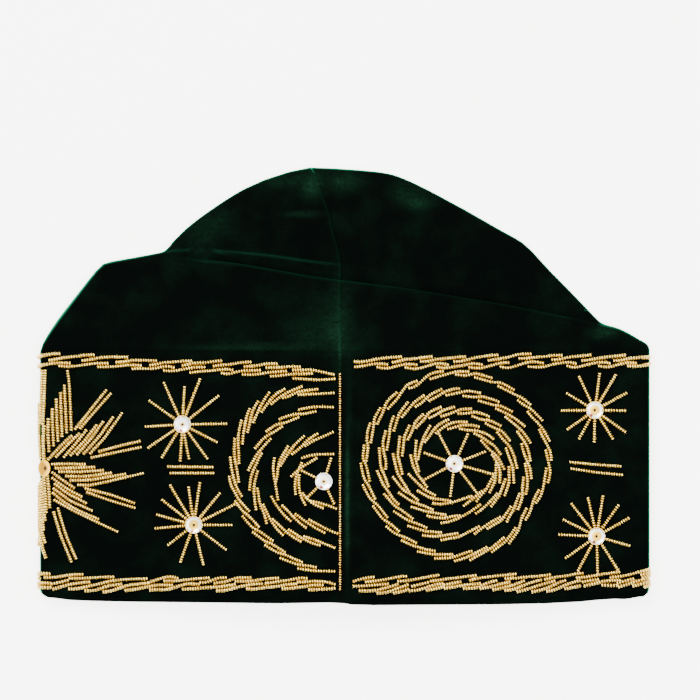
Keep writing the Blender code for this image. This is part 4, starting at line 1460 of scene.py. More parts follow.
# %% Strands of the half rosette, in pixels
HALF_RING_STRANDS = {
    "half_ring_1": (
        ((298.9, 394.9), (310.0, 394.3), (333.7, 393.0)),
        ((283.2, 398.0), (289.3, 396.5), (297.0, 392.2), (307.7, 390.0), (317.6, 389.2)),
        ((271.7, 404.1), (277.0, 399.5), (284.7, 394.2), (290.8, 390.7), (301.9, 386.5)),
        ((262.1, 411.8), (267.9, 403.7), (272.4, 397.6), (278.6, 392.2), (284.7, 389.0)),
        ((253.7, 422.1), (257.1, 414.4), (261.4, 405.3), (265.2, 398.4), (269.4, 392.6)),
        ((248.0, 432.0), (250.3, 422.9), (251.8, 414.4), (254.8, 406.8), (258.3, 401.4)),
        ((243.0, 443.5), (244.1, 432.0), (245.7, 422.9), (247.6, 413.7), (249.9, 408.7)),
        ((239.5, 463.0), (239.2, 450.4), (238.4, 441.2), (239.2, 430.5), (241.8, 420.6)),
        ((234.9, 438.9), (234.6, 448.9), (235.3, 459.6), (237.6, 470.3), (239.2, 481.5)),
        ((230.7, 457.3), (231.9, 468.0), (233.4, 475.7), (237.2, 487.7), (242.2, 495.7)),
        ((229.5, 476.6), (230.7, 483.8), (234.9, 491.5), (238.4, 498.4), (244.1, 504.5), (249.5, 510.6)),
        ((235.7, 501.0), (240.3, 507.6), (245.3, 512.9), (249.0, 515.0), (254.1, 520.6), (259.1, 526.3)),
        ((243.0, 516.0), (248.7, 522.9), (254.5, 529.0), (258.5, 529.7), (264.8, 534.3), (273.2, 540.1)),
        ((253.3, 532.0), (260.2, 537.0), (266.3, 541.6), (271.5, 542.8), (278.6, 547.3), (285.1, 551.6)),
        ((265.6, 545.0), (273.2, 549.6), (280.1, 553.2), (286.0, 554.2), (293.9, 558.1), (302.3, 561.5)),
        ((280.9, 557.7), (289.3, 561.1), (297.7, 564.2), (302.0, 564.4), (309.2, 565.3), (316.1, 566.5)),
        ((298.5, 568.0), (307.7, 569.6), (316.8, 570.4), (334.4, 570.7)),
    ),
    "half_ring_2": (
        ((299.2, 409.5), (307.7, 407.6), (315.3, 406.6), (332.9, 407.2)),
        ((279.7, 419.0), (288.5, 415.6), (296.9, 413.6), (301.5, 414.2), (307.7, 413.3), (315.7, 411.4)),
        ((266.7, 431.3), (274.0, 425.9), (279.6, 423.2), (284.4, 423.4), (290.8, 420.6), (298.5, 417.5)),
        ((255.6, 448.1), (261.0, 441.2), (266.6, 435.8), (271.4, 433.7), (276.3, 430.5), (282.4, 426.7)),
        ((248.7, 469.9), (253.3, 461.1), (257.4, 453.7), (261.0, 450.0), (265.6, 444.3), (270.9, 438.9)),
        ((249.9, 489.6), (250.8, 479.0), (252.9, 471.1), (256.5, 465.0), (258.7, 458.8), (262.1, 453.5)),
        ((256.4, 509.1), (255.2, 501.4), (254.2, 490.8), (255.2, 480.7), (257.9, 471.1)),
        ((257.9, 488.4), (259.1, 495.3), (260.4, 504.0), (263.3, 510.6), (265.6, 516.7), (266.9, 522.9)),
        ((263.6, 504.5), (267.1, 511.4), (270.2, 518.2), (274.0, 524.6), (278.6, 530.5), (283.2, 534.7)),
        ((273.2, 519.0), (280.1, 525.2), (285.5, 530.6), (290.1, 534.5), (295.4, 538.2), (300.8, 541.2)),
        ((289.3, 529.4), (296.2, 533.6), (302.3, 538.0), (307.7, 540.7), (313.8, 543.5), (319.9, 545.0)),
        ((304.6, 535.9), (313.0, 538.5), (319.9, 541.2), (326.8, 544.3), (334.4, 547.3)),
    ),
    "half_ring_3": (
        ((305.4, 445.6), (311.5, 441.9), (316.8, 439.2), (324.5, 435.9), (332.9, 432.0)),
        ((292.3, 453.9), (298.5, 449.6), (303.4, 445.0), (306.9, 440.6), (311.5, 437.0), (317.6, 433.6)),
        ((280.9, 465.3), (285.4, 458.1), (289.3, 451.9), (292.3, 447.7), (298.5, 441.2), (304.2, 435.9)),
        ((275.6, 483.8), (277.9, 475.0), (278.3, 467.5), (280.6, 459.0), (284.7, 451.9), (288.1, 446.2)),
        ((274.7, 458.1), (273.2, 466.5), (274.0, 474.9), (275.8, 484.6), (277.0, 490.7), (278.2, 499.1)),
        ((271.7, 496.5), (275.5, 503.0), (280.1, 509.8), (284.7, 515.2), (290.8, 520.6)),
        ((282.8, 505.3), (288.5, 510.6), (293.9, 516.9), (299.2, 522.1), (306.1, 527.4)),
        ((295.8, 513.7), (302.3, 518.3), (308.4, 523.2), (315.3, 527.4), (324.5, 532.4)),
        ((309.6, 519.4), (316.8, 523.2), (324.5, 527.4), (331.4, 530.9), (337.0, 533.0)),
    ),
    "half_ring_4": (
        ((302.3, 457.7), (309.2, 455.4), (316.8, 454.2), (333.3, 453.9)),
        ((291.6, 476.0), (296.9, 471.1), (300.8, 467.6), (309.2, 462.7), (316.8, 458.1)),
        ((301.9, 462.7), (298.9, 468.8), (296.5, 475.5), (295.2, 481.5), (295.0, 487.7), (295.8, 493.8)),
        ((299.6, 474.9), (298.9, 481.5), (299.6, 489.2), (301.5, 497.6), (305.4, 504.5)),
        ((303.1, 493.0), (307.7, 498.8), (313.0, 503.7), (323.0, 507.9)),
        ((311.5, 500.7), (320.7, 502.6), (328.3, 505.3), (336.0, 508.3)),
    ),
}

# %% String both rosettes
FRONT_BEAD_SEED = 20
TRACED_BEND = 2.0 * MM
for number, (name, lines) in enumerate({**ROSETTE_RING_STRANDS, **HALF_RING_STRANDS}.items()):
    threads = [strand("front", photo_line(*line), bend=TRACED_BEND) for line in lines]
    beadwork.append((string_beads("beads_" + name, threads, FRONT_BEAD_SEED + number), (name,)))

# %% [markdown]
# ## The starburst on the left fold
# This motif lies across the left fold, so the photograph shows half of it. Its petals are fans of
# strands, each a little longer than the one before, and between the petals lie pairs of straight bars.
# The other half is the same on the back. Strands at the very fold are seen from the side.

# %% Strands of the half starburst, in pixels
PETALS = (
    # upright petal
    ((45.2, 458.4), (45.0, 442), (45.2, 426.2)),
    ((49.3, 451.1), (48.6, 436), (48.7, 419.2)),
    ((53.8, 445.4), (52.8, 428), (52.5, 409.3)),
    ((58.2, 440.9), (57.0, 420), (56.6, 399.4)),
    ((62.4, 436.1), (61.4, 415), (60.8, 393.1)),
    ((66.8, 432.3), (65.8, 409), (64.6, 385.7)),
    ((71.6, 429.7), (70.5, 403), (69.7, 384.1), (67.8, 371.1)),
    # petal to the upper right
    ((48.7, 459.4), (60.0, 446.5), (71.6, 435.8)),
    ((56.3, 456.8), (68.5, 444.0), (79.3, 433.6)),
    ((64.3, 456.8), (76.0, 443.5), (86.3, 430.4)),
    ((71.0, 455.2), (85.0, 440.5), (96.5, 425.3)),
    ((77.4, 454.3), (91.5, 438.5), (103.2, 421.8)),
    ((84.1, 453.6), (100.0, 436.0), (113.1, 417.3)),
    ((90.4, 453.3), (105.0, 438.0), (122.3, 413.2)),
    # petal to the right
    ((52.3, 464.1), (68.0, 463.6), (85.0, 464.1)),
    ((55.9, 468.1), (75.0, 467.8), (94.6, 466.9)),
    ((59.5, 471.7), (82.0, 471.8), (103.4, 470.1)),
    ((66.3, 476.1), (81.8, 476.5), (96.0, 475.2), (111.4, 472.5)),
    ((70.7, 480.5), (89.8, 480.1), (108.0, 477.0), (125.7, 473.7)),
    ((78.3, 484.9), (89.8, 485.3), (105.8, 482.1), (143.3, 473.1)),
    # petal to the lower right
    ((52.7, 472.5), (63.0, 480.2), (74.3, 487.7)),
    ((52.7, 478.1), (66.0, 488.0), (81.8, 496.4)),
    ((55.1, 484.1), (69.5, 494.6), (86.2, 502.8)),
    ((53.9, 488.5), (70.0, 500.6), (92.2, 510.4)),
    ((53.1, 492.8), (64.0, 502.0), (80.0, 511.2), (98.6, 518.8)),
    ((54.7, 500.0), (69.9, 508.8), (92.0, 519.6), (117.7, 531.5)),
    # hanging petal, the strand that lies clear of the fold
    ((48.0, 476.1), (49.4, 490), (50.0, 507.2)),
)
PETAL_BARS = (
    ((75.5, 428.8), (106.4, 390.2)),
    ((80.6, 428.1), (110.9, 393.7)),
    ((99.6, 451.3), (120.0, 445.6), (140.2, 441.0)),
    ((91.9, 457.6), (110.5, 453.6), (141.2, 447.1)),
    ((85.8, 488.5), (110.0, 494.2), (134.7, 502.9)),
    ((87.4, 492.4), (110.0, 500.4), (135.1, 507.8)),
    ((53.9, 512.0), (60.5, 534), (71.5, 561.4)),
    ((58.3, 508.4), (66.0, 534), (76.3, 558.2)),
)
half_burst = [strand("front", photo_line(*line)) for line in PETALS + PETAL_BARS]
half_burst += [strand("back", photo_line(*line)) for line in PETALS + PETAL_BARS]

# %% The whole starburst of the back, a little smaller so that it stays off the right fold
BURST_SIZE = 0.74
FOLD_BURST_MIDDLE = (42.5, 468.2)
BACK_BURST_MIDDLE = (565.9, 468.2)


def moved_burst(line, side):
    moved = []
    for column, row in line:
        away_x = side * BURST_SIZE * (column - FOLD_BURST_MIDDLE[0])
        away_y = BURST_SIZE * (row - FOLD_BURST_MIDDLE[1])
        moved.append((BACK_BURST_MIDDLE[0] + away_x, BACK_BURST_MIDDLE[1] + away_y))
    return moved


back_burst = []
for side in (-1.0, 1.0):
    for line in PETALS + PETAL_BARS:
        back_burst.append(strand("back", photo_line(*moved_burst(line, side))))
beadwork.append((string_beads("burst_beads_back", back_burst, seed=7), ()))

# %% [markdown]
# ## The two borders
# Both borders run once round the wall, over both folds, and stop beside the front seam. A track round the
# wall turns a length along it into a face and a place, so a strand passes over a fold without a kink. The
# top border is two rows of rope stitch. The bottom border has a row of longer strands over three rows
# laid like bricks.

# %% A track round the wall
FOLD_ANGLES = 14
FRONT_STATIONS = 60
BACK_STATIONS = 110
TRACK_HEIGHT = 0.06
# The columns of the photograph where the borders start and end, beside the seam.
TRACK_START = 353.0
TRACK_END = 334.6


def track_stations():
    straight = HALF_WIDTH - EDGE_REACH
    bends = [math.pi / 2.0 * i / FOLD_ANGLES for i in range(FOLD_ANGLES + 1)]
    fold = [straight + EDGE_REACH * math.sin(angle) for angle in bends]
    start = from_photo(TRACK_START, 0)[0]
    end = from_photo(TRACK_END, 0)[0]
    stations = [("front", x) for x in np.linspace(start, straight, FRONT_STATIONS)]
    stations += [("front", x) for x in fold[1:]] + [("back", x) for x in fold[-2::-1]]
    stations += [("back", x) for x in np.linspace(straight, -straight, BACK_STATIONS)[1:]]
    stations += [("back", -x) for x in fold[1:]] + [("front", -x) for x in fold[-2::-1]]
    return stations + [("front", x) for x in np.linspace(-straight, end, FRONT_STATIONS)[1:]]


STATIONS = track_stations()
STATION_SPOTS = np.array([on_cloth(face, x, TRACK_HEIGHT, BEAD_RADIUS) for face, x in STATIONS])
STATION_LENGTHS = lengths_along(STATION_SPOTS)
STATION_X = np.array([x for _, x in STATIONS])
print("The track round the wall is", round(float(STATION_LENGTHS[-1]) * 1000), "mm long")


def on_track(length):
    """Face and x that far along the track."""
    index = min(len(STATIONS) - 2, max(0, int(np.searchsorted(STATION_LENGTHS, length)) - 1))
    faces = STATIONS[index][0], STATIONS[index + 1][0]
    face = faces[0] if faces[0] == faces[1] or abs(STATIONS[index][1]) < HALF_WIDTH else faces[1]
    return face, float(np.interp(length, STATION_LENGTHS, STATION_X))


# %% [markdown]
# The strands that lie on the left fold itself are given along the track, in millimetres from the fold:
# positive on the front and negative on the back. They finish the half starburst.

# %% Strands on the left fold
FOLD_STRANDS = (
    ((6.1, 370.7), (5.5, 398.0), (4.8, 423.7)),
    ((4.1, 370.7), (3.4, 398.0), (2.9, 423.0)),
    ((-0.3, 404.0), (0.7, 422.0), (1.8, 441.0), (3.0, 458.0)),
    ((5.4, 477.7), (6.2, 497.0), (6.6, 512.0)),
    ((3.7, 479.3), (4.7, 500.0), (6.0, 520.0)),
    ((2.6, 483.0), (3.2, 500.0), (4.2, 515.0), (5.2, 529.5)),
    ((0.7, 486.0), (1.2, 500.0), (2.4, 515.0), (4.0, 530.0), (6.0, 542.3)),
    ((-1.2, 489.0), (-0.8, 500.0), (0.4, 515.0), (1.9, 530.0), (4.2, 545.0), (6.4, 557.4)),
    ((-3.2, 489.0), (-2.9, 505.0), (-1.8, 524.0), (0.0, 545.0)),
)
LEFT_FOLD_LENGTH = float(STATION_LENGTHS[int(np.argmin(STATION_X))])
RIGHT_FOLD_LENGTH = float(STATION_LENGTHS[int(np.argmax(STATION_X))])
TRACK_BEND = 2.5 * MM


def track_strand(flat, arch=0.0):
    """flat: pairs of a length along the track and a height above the rim."""
    line = soft_line(flat, TRACK_BEND)
    lengths = lengths_along(line)
    count = max(2, int(lengths[-1] / THREAD_STEP))
    thread = []
    for i in range(count + 1):
        along, y = point_at(line, lengths, lengths[-1] * i / count)
        face, x = on_track(float(along))
        rise = arch * math.sin(math.pi * i / count) if face == "front" else 0.0
        thread.append(on_cloth(face, x, float(y), BEAD_RADIUS * SEAT + rise))
    return thread


for corners in FOLD_STRANDS:
    flat = [(LEFT_FOLD_LENGTH + along * MM, (RIM_ROW - row) * PIXEL) for along, row in corners]
    half_burst.append(track_strand(flat))
beadwork.append((string_beads("burst_beads_left_fold", half_burst, seed=6), ()))

# %% [markdown]
# On the front each border strand is read off the photograph. A column is turned into a length along the
# track by the place of the bead, not of the cloth under it, so a strand at a fold is seen where the
# photograph shows it. Columns outside the hat mean that the strand runs on over the fold.

# %% From a column of the photograph to a length along the track
RIGHT_TURN = int(np.argmax(STATION_SPOTS[:, 0]))
LEFT_TURN = int(np.argmin(STATION_SPOTS[:, 0]))


def track_mark(column):
    x = from_photo(column, 0.0)[0]
    if x > SEAM_X:
        spots = STATION_SPOTS[: RIGHT_TURN + 1, 0]
        marks = STATION_LENGTHS[: RIGHT_TURN + 1]
        return float(np.interp(x, spots, marks)) + max(0.0, x - float(spots[-1]))
    spots = STATION_SPOTS[LEFT_TURN:, 0]
    marks = STATION_LENGTHS[LEFT_TURN:]
    return float(np.interp(x, spots, marks)) - max(0.0, float(spots[0]) - x)


def border_strands(lines):
    threads = []
    for line in lines:
        flat = [(track_mark(column), (RIM_ROW - row) * PIXEL) for column, row in line]
        threads.append(track_strand(flat, FRONT_ARCH))
    return threads


# %% [markdown]
# The photograph doesn't show the back. There a strand is given by its length and by how far it lies above
# or below the border's middle line, and that is repeated from one fold to the other with a little
# unevenness.

# %% A row of equal strands on the back
START_SHIFT = 1.0
BACK_LENGTH_CHANGE = (0.96, 1.04)
SIDEWAYS_CHANGE = 0.35


def back_row(table, row, chance):
    """row: first and last start in pixels past a fold, pitch, a strand's length, and its offsets."""
    first, last, pitch, length, offsets = row
    first = RIGHT_FOLD_LENGTH + first * PIXEL
    last = LEFT_FOLD_LENGTH + last * PIXEL
    places = np.array(photo_line(*table))
    count = round((last - first) / (pitch * PIXEL))
    threads = []
    for number in range(count + 1):
        start = first + (last - first) * number / count
        start += chance.uniform(-START_SHIFT, START_SHIFT) * PIXEL
        own_length = length * PIXEL * chance.uniform(*BACK_LENGTH_CHANGE)
        sideways = chance.uniform(-SIDEWAYS_CHANGE, SIDEWAYS_CHANGE)
        flat = []
        for share, height in offsets:
            along = start + own_length * share
            y = float(np.interp(on_track(along)[1], places[:, 0], places[:, 1]))
            flat.append((along, y + (height + sideways) * PIXEL))
        threads.append(track_strand(flat))
    return threads


# %% String the top border
TOP_BORDER_FRONT = (
    # upper row, left of the seam
    ((15.0, 360.5), (28.0, 359.5), (38.9, 357.3), (45.8, 355.3), (53.7, 353.8), (59.6, 353.8)),
    ((49.8, 360.2), (56.6, 359.2), (63.5, 357.8), (78.2, 356.3), (85.1, 354.8), (94.0, 354.8)),
    ((82.7, 360.5), (91.0, 359.7), (98.9, 357.8), (108.7, 357.0), (127.4, 357.0)),
    ((116.6, 362.2), (124.4, 361.9), (131.3, 360.2), (140.1, 360.2), (156.3, 360.7)),
    ((150.4, 365.1), (156.8, 364.6), (163.7, 362.2), (173.5, 362.2), (181.4, 361.2), (191.4, 360.8)),
    ((182.8, 365.6), (189.0, 364.4), (193.9, 362.8), (205.7, 362.8), (214.0, 361.4), (221.4, 360.8)),
    ((214.0, 366.2), (220.4, 365.2), (227.3, 364.7), (235.1, 363.8), (243.0, 362.3), (250.9, 362.0)),
    ((245.0, 366.7), (252.8, 366.2), (260.7, 365.2), (267.6, 363.3), (276.9, 363.8)),
    ((266.6, 367.7), (274.4, 367.7), (282.3, 367.2), (291.1, 366.5), (300.0, 366.9)),
    ((293.1, 370.1), (301.9, 370.1), (309.8, 369.6), (315.7, 370.6), (324.5, 372.6), (333.9, 374.6)),
    # lower row, left of the seam
    ((22.0, 368.0), (30.0, 368.2), (39.4, 366.1), (45.8, 364.6),
     (53.7, 363.5), (61.5, 362.7), (69.9, 363.2)),
    ((59.6, 366.1), (65.5, 366.8), (72.3, 366.6), (80.2, 365.6),
     (88.1, 364.6), (95.9, 363.2), (107.7, 363.2)),
    ((98.4, 367.1), (106.7, 367.1), (114.6, 366.6), (122.4, 366.1), (130.3, 364.8), (141.1, 365.4)),
    ((132.8, 369.1), (140.1, 368.6), (148.0, 368.8), (154.9, 369.1),
     (162.7, 366.6), (168.6, 366.1), (174.0, 367.6)),
    ((164.2, 370.7), (171.6, 371.5), (178.4, 370.5), (187.0, 368.9), (193.9, 367.2), (204.7, 367.2)),
    ((190.5, 372.8), (197.8, 371.8), (213.5, 370.8), (221.4, 369.6), (227.3, 368.9), (232.7, 370.1)),
    ((221.9, 373.4), (228.3, 374.6), (235.1, 372.6), (242.0, 370.6), (250.9, 370.6), (260.2, 370.1)),
    ((243.0, 374.6), (251.8, 375.0), (260.7, 374.1), (268.5, 372.4), (276.4, 371.8), (286.2, 371.1)),
    ((271.0, 376.3), (278.4, 376.0), (286.2, 375.0), (294.1, 373.6), (302.9, 374.1), (311.8, 373.6)),
    ((293.6, 378.5), (301.9, 379.0), (310.8, 379.5), (320.6, 380.0), (334.4, 379.0)),
    # upper row, right of the seam
    ((354.3, 361.7), (361.7, 362.2), (369.6, 360.7), (377.4, 358.9), (386.3, 357.9), (401.0, 356.8)),
    ((392.6, 362.4), (398.0, 361.7), (404.9, 359.2), (412.8, 359.2), (420.6, 357.7), (431.4, 356.6)),
    ((420.6, 361.7), (428.5, 361.5), (435.4, 359.2), (443.2, 358.7),
     (451.1, 358.2), (457.9, 356.8), (464.8, 356.8)),
    ((454.0, 361.7), (460.9, 361.5), (467.8, 359.7), (474.6, 357.7),
     (482.5, 356.6), (490.4, 355.3), (497.2, 355.0)),
    ((488.4, 360.5), (496.0, 359.4), (504.9, 357.7), (510.8, 356.8), (517.6, 354.0), (530.4, 353.8)),
    ((519.1, 358.5), (526.5, 358.5), (533.3, 357.2), (541.2, 356.9),
     (548.1, 356.3), (553.0, 354.8), (561.3, 355.3)),
    ((552.0, 359.7), (559.9, 359.7), (566.7, 357.2), (574.6, 356.6), (590.3, 355.0)),
    ((582.0, 360.7), (589.3, 359.9), (598.2, 358.2), (606.0, 357.2), (624.7, 355.3)),
    ((613.9, 360.7), (620.7, 360.5), (628.6, 358.5), (637.4, 357.9), (647.8, 357.2), (659.0, 356.4)),
    # lower row, right of the seam
    ((354.8, 367.1), (361.7, 366.6), (368.6, 365.1), (375.4, 363.8), (381.3, 363.6), (387.2, 364.4)),
    ((377.4, 367.4), (386.3, 369.0), (394.1, 367.1), (401.0, 365.1), (407.9, 363.6), (416.2, 364.8)),
    ((405.4, 367.8), (415.7, 369.5), (422.6, 367.6), (429.5, 365.4),
     (436.3, 363.4), (441.3, 363.1), (447.6, 364.8)),
    ((436.8, 367.1), (446.2, 368.5), (454.0, 366.6), (462.9, 365.8),
     (469.7, 363.4), (474.6, 363.4), (481.5, 364.6)),
    ((469.2, 367.4), (479.5, 368.7), (487.4, 366.6), (495.3, 364.4), (502.9, 362.2), (508.3, 362.8)),
    ((500.4, 366.8), (507.8, 368.7), (514.7, 366.4), (522.5, 363.8),
     (530.4, 361.6), (536.3, 361.9), (542.7, 363.1)),
    ((528.4, 366.8), (536.3, 367.4), (544.1, 367.4), (551.0, 364.6),
     (565.8, 362.4), (569.7, 361.9), (575.6, 363.6)),
    ((567.2, 366.1), (573.6, 368.3), (581.5, 366.1), (589.3, 364.4),
     (598.2, 362.2), (604.1, 361.9), (609.5, 363.4)),
    ((598.7, 366.1), (608.0, 367.8), (614.9, 365.4), (621.7, 363.8), (628.6, 362.2), (635.5, 363.1)),
    ((627.6, 366.1), (636.5, 366.6), (643.4, 365.1), (648.8, 364.1), (660.0, 362.0), (669.0, 363.5)),
)
TOP_BORDER_BACK = ((40.9, 361.6), (344, 362.0), (647.1, 360.8))
TOP_BACK_ROWS = (
    (4.0, -53.0, 33.7, 45.0, ((0.0, -0.4), (0.2, 0.2), (0.36, 3.0), (0.8, 5.2), (1.0, 5.4))),
    (16.0, -60.0, 33.0, 43.0, ((0.0, -5.2), (0.22, -6.0), (0.5, -3.4), (0.75, -1.2), (1.0, -1.8))),
)
BORDER_SEED = 5
chance = random.Random(BORDER_SEED)
threads = border_strands(TOP_BORDER_FRONT)
for row in TOP_BACK_ROWS:
    threads += back_row(TOP_BORDER_BACK, row, chance)
beadwork.append((string_beads("beads_top_border", threads, seed=8), ("top_border",)))

# %% String the bottom border
BOTTOM_BORDER_FRONT = (
    # long strands of the upper row, left of the seam
    ((20.0, 576.0), (30.0, 574.6), (39.4, 573.8), (44.8, 573.3), (49.8, 573.6)),
    ((45.3, 577.3), (52.7, 577.3), (61.5, 576.3), (69.4, 574.6), (75.3, 574.3), (82.7, 574.0)),
    ((69.9, 578.3), (78.2, 578.3), (87.1, 577.8), (94.9, 577.3), (103.8, 576.6), (113.6, 576.6)),
    ((108.7, 581.2), (114.6, 580.2), (122.4, 579.2), (130.3, 578.8), (147.0, 578.3)),
    ((149.5, 582.2), (153.9, 580.2), (159.8, 578.8), (164.7, 576.6), (171.6, 576.0), (177.9, 577.8)),
    ((164.7, 580.7), (171.6, 580.2), (176.5, 581.2), (182.4, 579.7), (195.9, 578.3), (209.1, 577.3)),
    ((200.8, 582.2), (207.6, 582.2), (212.6, 579.8), (217.5, 577.3), (226.3, 577.0)),
    ((215.0, 582.7), (221.4, 581.6), (227.3, 581.3), (232.2, 578.8), (237.1, 577.0), (250.9, 577.0)),
    ((236.1, 580.8), (249.9, 580.8), (256.8, 579.6), (264.6, 578.3), (271.5, 577.6), (278.4, 577.3)),
    ((266.1, 582.5), (273.4, 582.0), (280.3, 580.3), (288.2, 579.6),
     (295.1, 578.3), (301.0, 576.8), (306.8, 577.6)),
    ((298.0, 581.3), (304.9, 581.6), (311.8, 580.3), (325.5, 580.8), (330.4, 582.2), (335.3, 583.5)),
    # short strands below them, left of the seam
    ((26.0, 579.6), (33.0, 578.6), (39.4, 578.2)),
    ((22.0, 584.8), (31.0, 583.4), (39.4, 583.2), (44.8, 582.5), (50.7, 583.2)),
    ((26.0, 588.6), (32.0, 587.6), (39.9, 587.1), (50.7, 587.1)),
    ((52.2, 583.7), (57.6, 582.7), (63.5, 581.2), (67.9, 580.2)),
    ((53.7, 588.6), (59.6, 587.1), (65.5, 585.1), (72.3, 583.7), (80.2, 582.7), (89.5, 581.7)),
    ((69.4, 588.6), (77.3, 588.6), (85.1, 586.6), (93.0, 585.1), (99.8, 583.7), (106.7, 581.7)),
    ((85.6, 590.3), (93.0, 590.5), (99.8, 588.6), (106.7, 586.1), (114.6, 584.6), (121.5, 583.7)),
    ((103.8, 591.5), (110.7, 590.7), (116.5, 589.1), (122.4, 586.6),
     (130.3, 584.6), (139.1, 583.7), (148.0, 582.7)),
    ((125.9, 590.0), (134.2, 589.1), (142.1, 587.6), (149.9, 586.1), (157.8, 584.6), (172.5, 584.6)),
    ((150.4, 589.6), (158.8, 589.1), (166.7, 589.4), (173.5, 587.6),
     (180.4, 585.1), (187.3, 583.2), (199.3, 583.7)),
    ((183.3, 588.6), (195.9, 588.1), (203.7, 587.2), (216.5, 586.4)),
    ((217.5, 586.6), (224.3, 585.7), (235.1, 583.7)),
    ((217.5, 590.1), (224.3, 590.1), (231.2, 588.6), (237.1, 586.7),
     (245.0, 585.2), (251.8, 583.7), (262.2, 583.2)),
    ((247.4, 588.1), (254.8, 588.6), (262.6, 587.2), (278.4, 585.7), (286.2, 583.7), (296.5, 583.2)),
    ((282.8, 588.1), (291.1, 587.6), (305.9, 585.7), (312.7, 584.2), (322.6, 584.5)),
    ((309.3, 588.8), (317.6, 588.8), (325.5, 588.1), (335.6, 587.6)),
    # long strands of the upper row, right of the seam
    ((347.5, 580.7), (353.8, 580.2), (360.7, 578.6), (367.6, 576.6), (373.5, 576.3)),
    ((365.6, 581.2), (372.5, 580.7), (387.2, 578.3), (400.0, 575.6), (405.9, 575.6)),
    ((398.0, 580.7), (405.9, 580.2), (413.8, 578.8), (429.5, 575.8), (438.3, 574.6)),
    ((430.5, 580.5), (438.3, 579.6), (446.2, 578.3), (461.9, 576.6), (475.2, 574.8)),
    ((469.7, 579.8), (475.6, 578.3), (482.5, 576.8), (498.2, 575.2), (515.2, 573.6)),
    ((515.7, 577.9), (523.5, 576.7), (539.2, 575.6), (549.5, 574.3)),
    ((544.6, 579.2), (552.0, 577.2), (559.9, 576.2), (567.7, 575.3), (575.6, 573.3), (582.4, 573.0)),
    ((576.6, 577.7), (583.4, 577.2), (591.3, 575.8), (607.0, 573.3), (618.8, 571.8)),
    ((610.4, 577.2), (617.8, 576.5), (625.7, 575.3), (633.5, 573.3),
     (640.4, 571.3), (647.3, 569.6), (656.0, 569.8)),
    # short strands below them, right of the seam
    ((348.4, 585.4), (363.7, 585.2), (371.5, 584.7), (379.4, 583.9), (387.7, 583.2)),
    ((359.7, 589.8), (367.6, 590.1), (375.4, 589.6), (382.3, 588.1), (388.2, 586.6), (397.5, 583.5)),
    ((377.4, 592.3), (384.3, 592.0), (390.2, 590.6), (396.1, 588.1), (402.0, 586.1), (407.4, 584.2)),
    ((393.6, 592.0), (400.0, 591.3), (407.9, 588.6)),
    ((411.8, 585.6), (419.6, 583.7), (427.5, 581.9)),
    ((409.3, 590.1), (416.7, 589.6), (423.6, 587.6), (430.5, 585.2), (436.3, 583.7), (442.2, 583.2)),
    ((426.5, 589.6), (433.4, 588.4), (443.2, 586.1)),
    ((444.2, 584.2), (452.1, 582.7), (459.9, 581.2)),
    ((444.2, 587.8), (452.1, 586.6), (459.9, 585.2), (466.8, 583.9), (473.7, 583.9), (479.5, 582.7)),
    ((463.4, 587.8), (470.7, 588.1), (479.0, 586.4)),
    ((481.0, 584.7), (488.4, 581.9), (495.8, 580.2)),
    ((480.1, 588.1), (487.4, 586.6), (494.3, 585.2), (502.0, 583.0), (509.0, 581.8)),
    ((505.3, 578.4), (512.7, 577.9)),
    ((492.8, 589.1), (499.9, 588.0), (506.8, 586.1), (514.7, 584.1), (523.5, 580.6)),
    ((504.9, 590.0), (512.7, 589.0), (519.6, 586.6), (526.5, 583.6), (533.3, 581.2), (540.7, 579.7)),
    ((517.1, 591.0), (524.5, 589.5), (538.3, 585.1), (545.1, 583.1), (554.0, 580.7)),
    ((531.9, 591.3), (539.2, 590.0), (546.1, 587.7), (553.0, 585.1), (558.9, 582.1), (564.8, 580.2)),
    ((546.6, 590.7), (553.0, 590.0), (559.9, 587.0), (565.8, 584.1), (572.6, 582.1), (579.5, 580.5)),
    ((564.8, 588.3), (571.6, 587.3), (579.5, 585.6)),
    ((582.4, 581.6), (590.3, 580.2), (597.7, 579.2)),
    ((584.4, 585.6), (591.3, 584.1), (599.1, 582.1), (604.1, 580.4), (619.8, 580.2)),
    ((602.1, 584.8), (610.0, 585.1), (616.5, 585.1)),
    ((617.5, 583.1), (622.7, 581.2), (628.6, 579.7), (633.0, 578.7)),
    ((618.8, 586.6), (625.7, 584.6), (633.5, 581.6), (639.4, 580.2), (647.3, 578.2)),
    ((633.0, 585.6), (639.4, 584.1), (644.3, 582.6), (648.8, 581.6), (656.0, 580.8)),
    ((640.9, 574.8), (648.3, 572.8), (657.0, 573.2)),
    ((642.4, 577.7), (648.8, 575.6), (656.0, 576.4)),
    ((644.3, 586.6), (648.3, 585.1), (657.0, 584.4)),
)
BOTTOM_BORDER_BACK = ((40.9, 580.8), (344, 585.2), (647.1, 578.0))
BOTTOM_BACK_ROWS = (
    (8.0, -62.0, 37.5, 39.0, ((0.0, 3.4), (0.3, 4.0), (0.6, 6.6), (1.0, 8.0))),
    (10.0, -34.0, 26.0, 27.0, ((0.0, -0.8), (0.5, 0.9), (1.0, 2.6))),
    (12.0, -38.0, 25.0, 26.0, ((0.0, -4.8), (0.5, -3.2), (1.0, -1.4))),
    (9.0, -36.0, 25.0, 25.0, ((0.0, -8.4), (0.5, -7.6), (1.0, -5.4))),
)
threads = border_strands(BOTTOM_BORDER_FRONT)
for row in BOTTOM_BACK_ROWS:
    threads += back_row(BOTTOM_BORDER_BACK, row, chance)
beadwork.append((string_beads("beads_bottom_border", threads, seed=9), ("bottom_border",)))

# %% [markdown]
# ## The strand down the seam
# One strand of slightly smaller, yellower beads runs down the middle seam and hides it. It is pulled less
# tight than the others, so its beads lean and differ more.

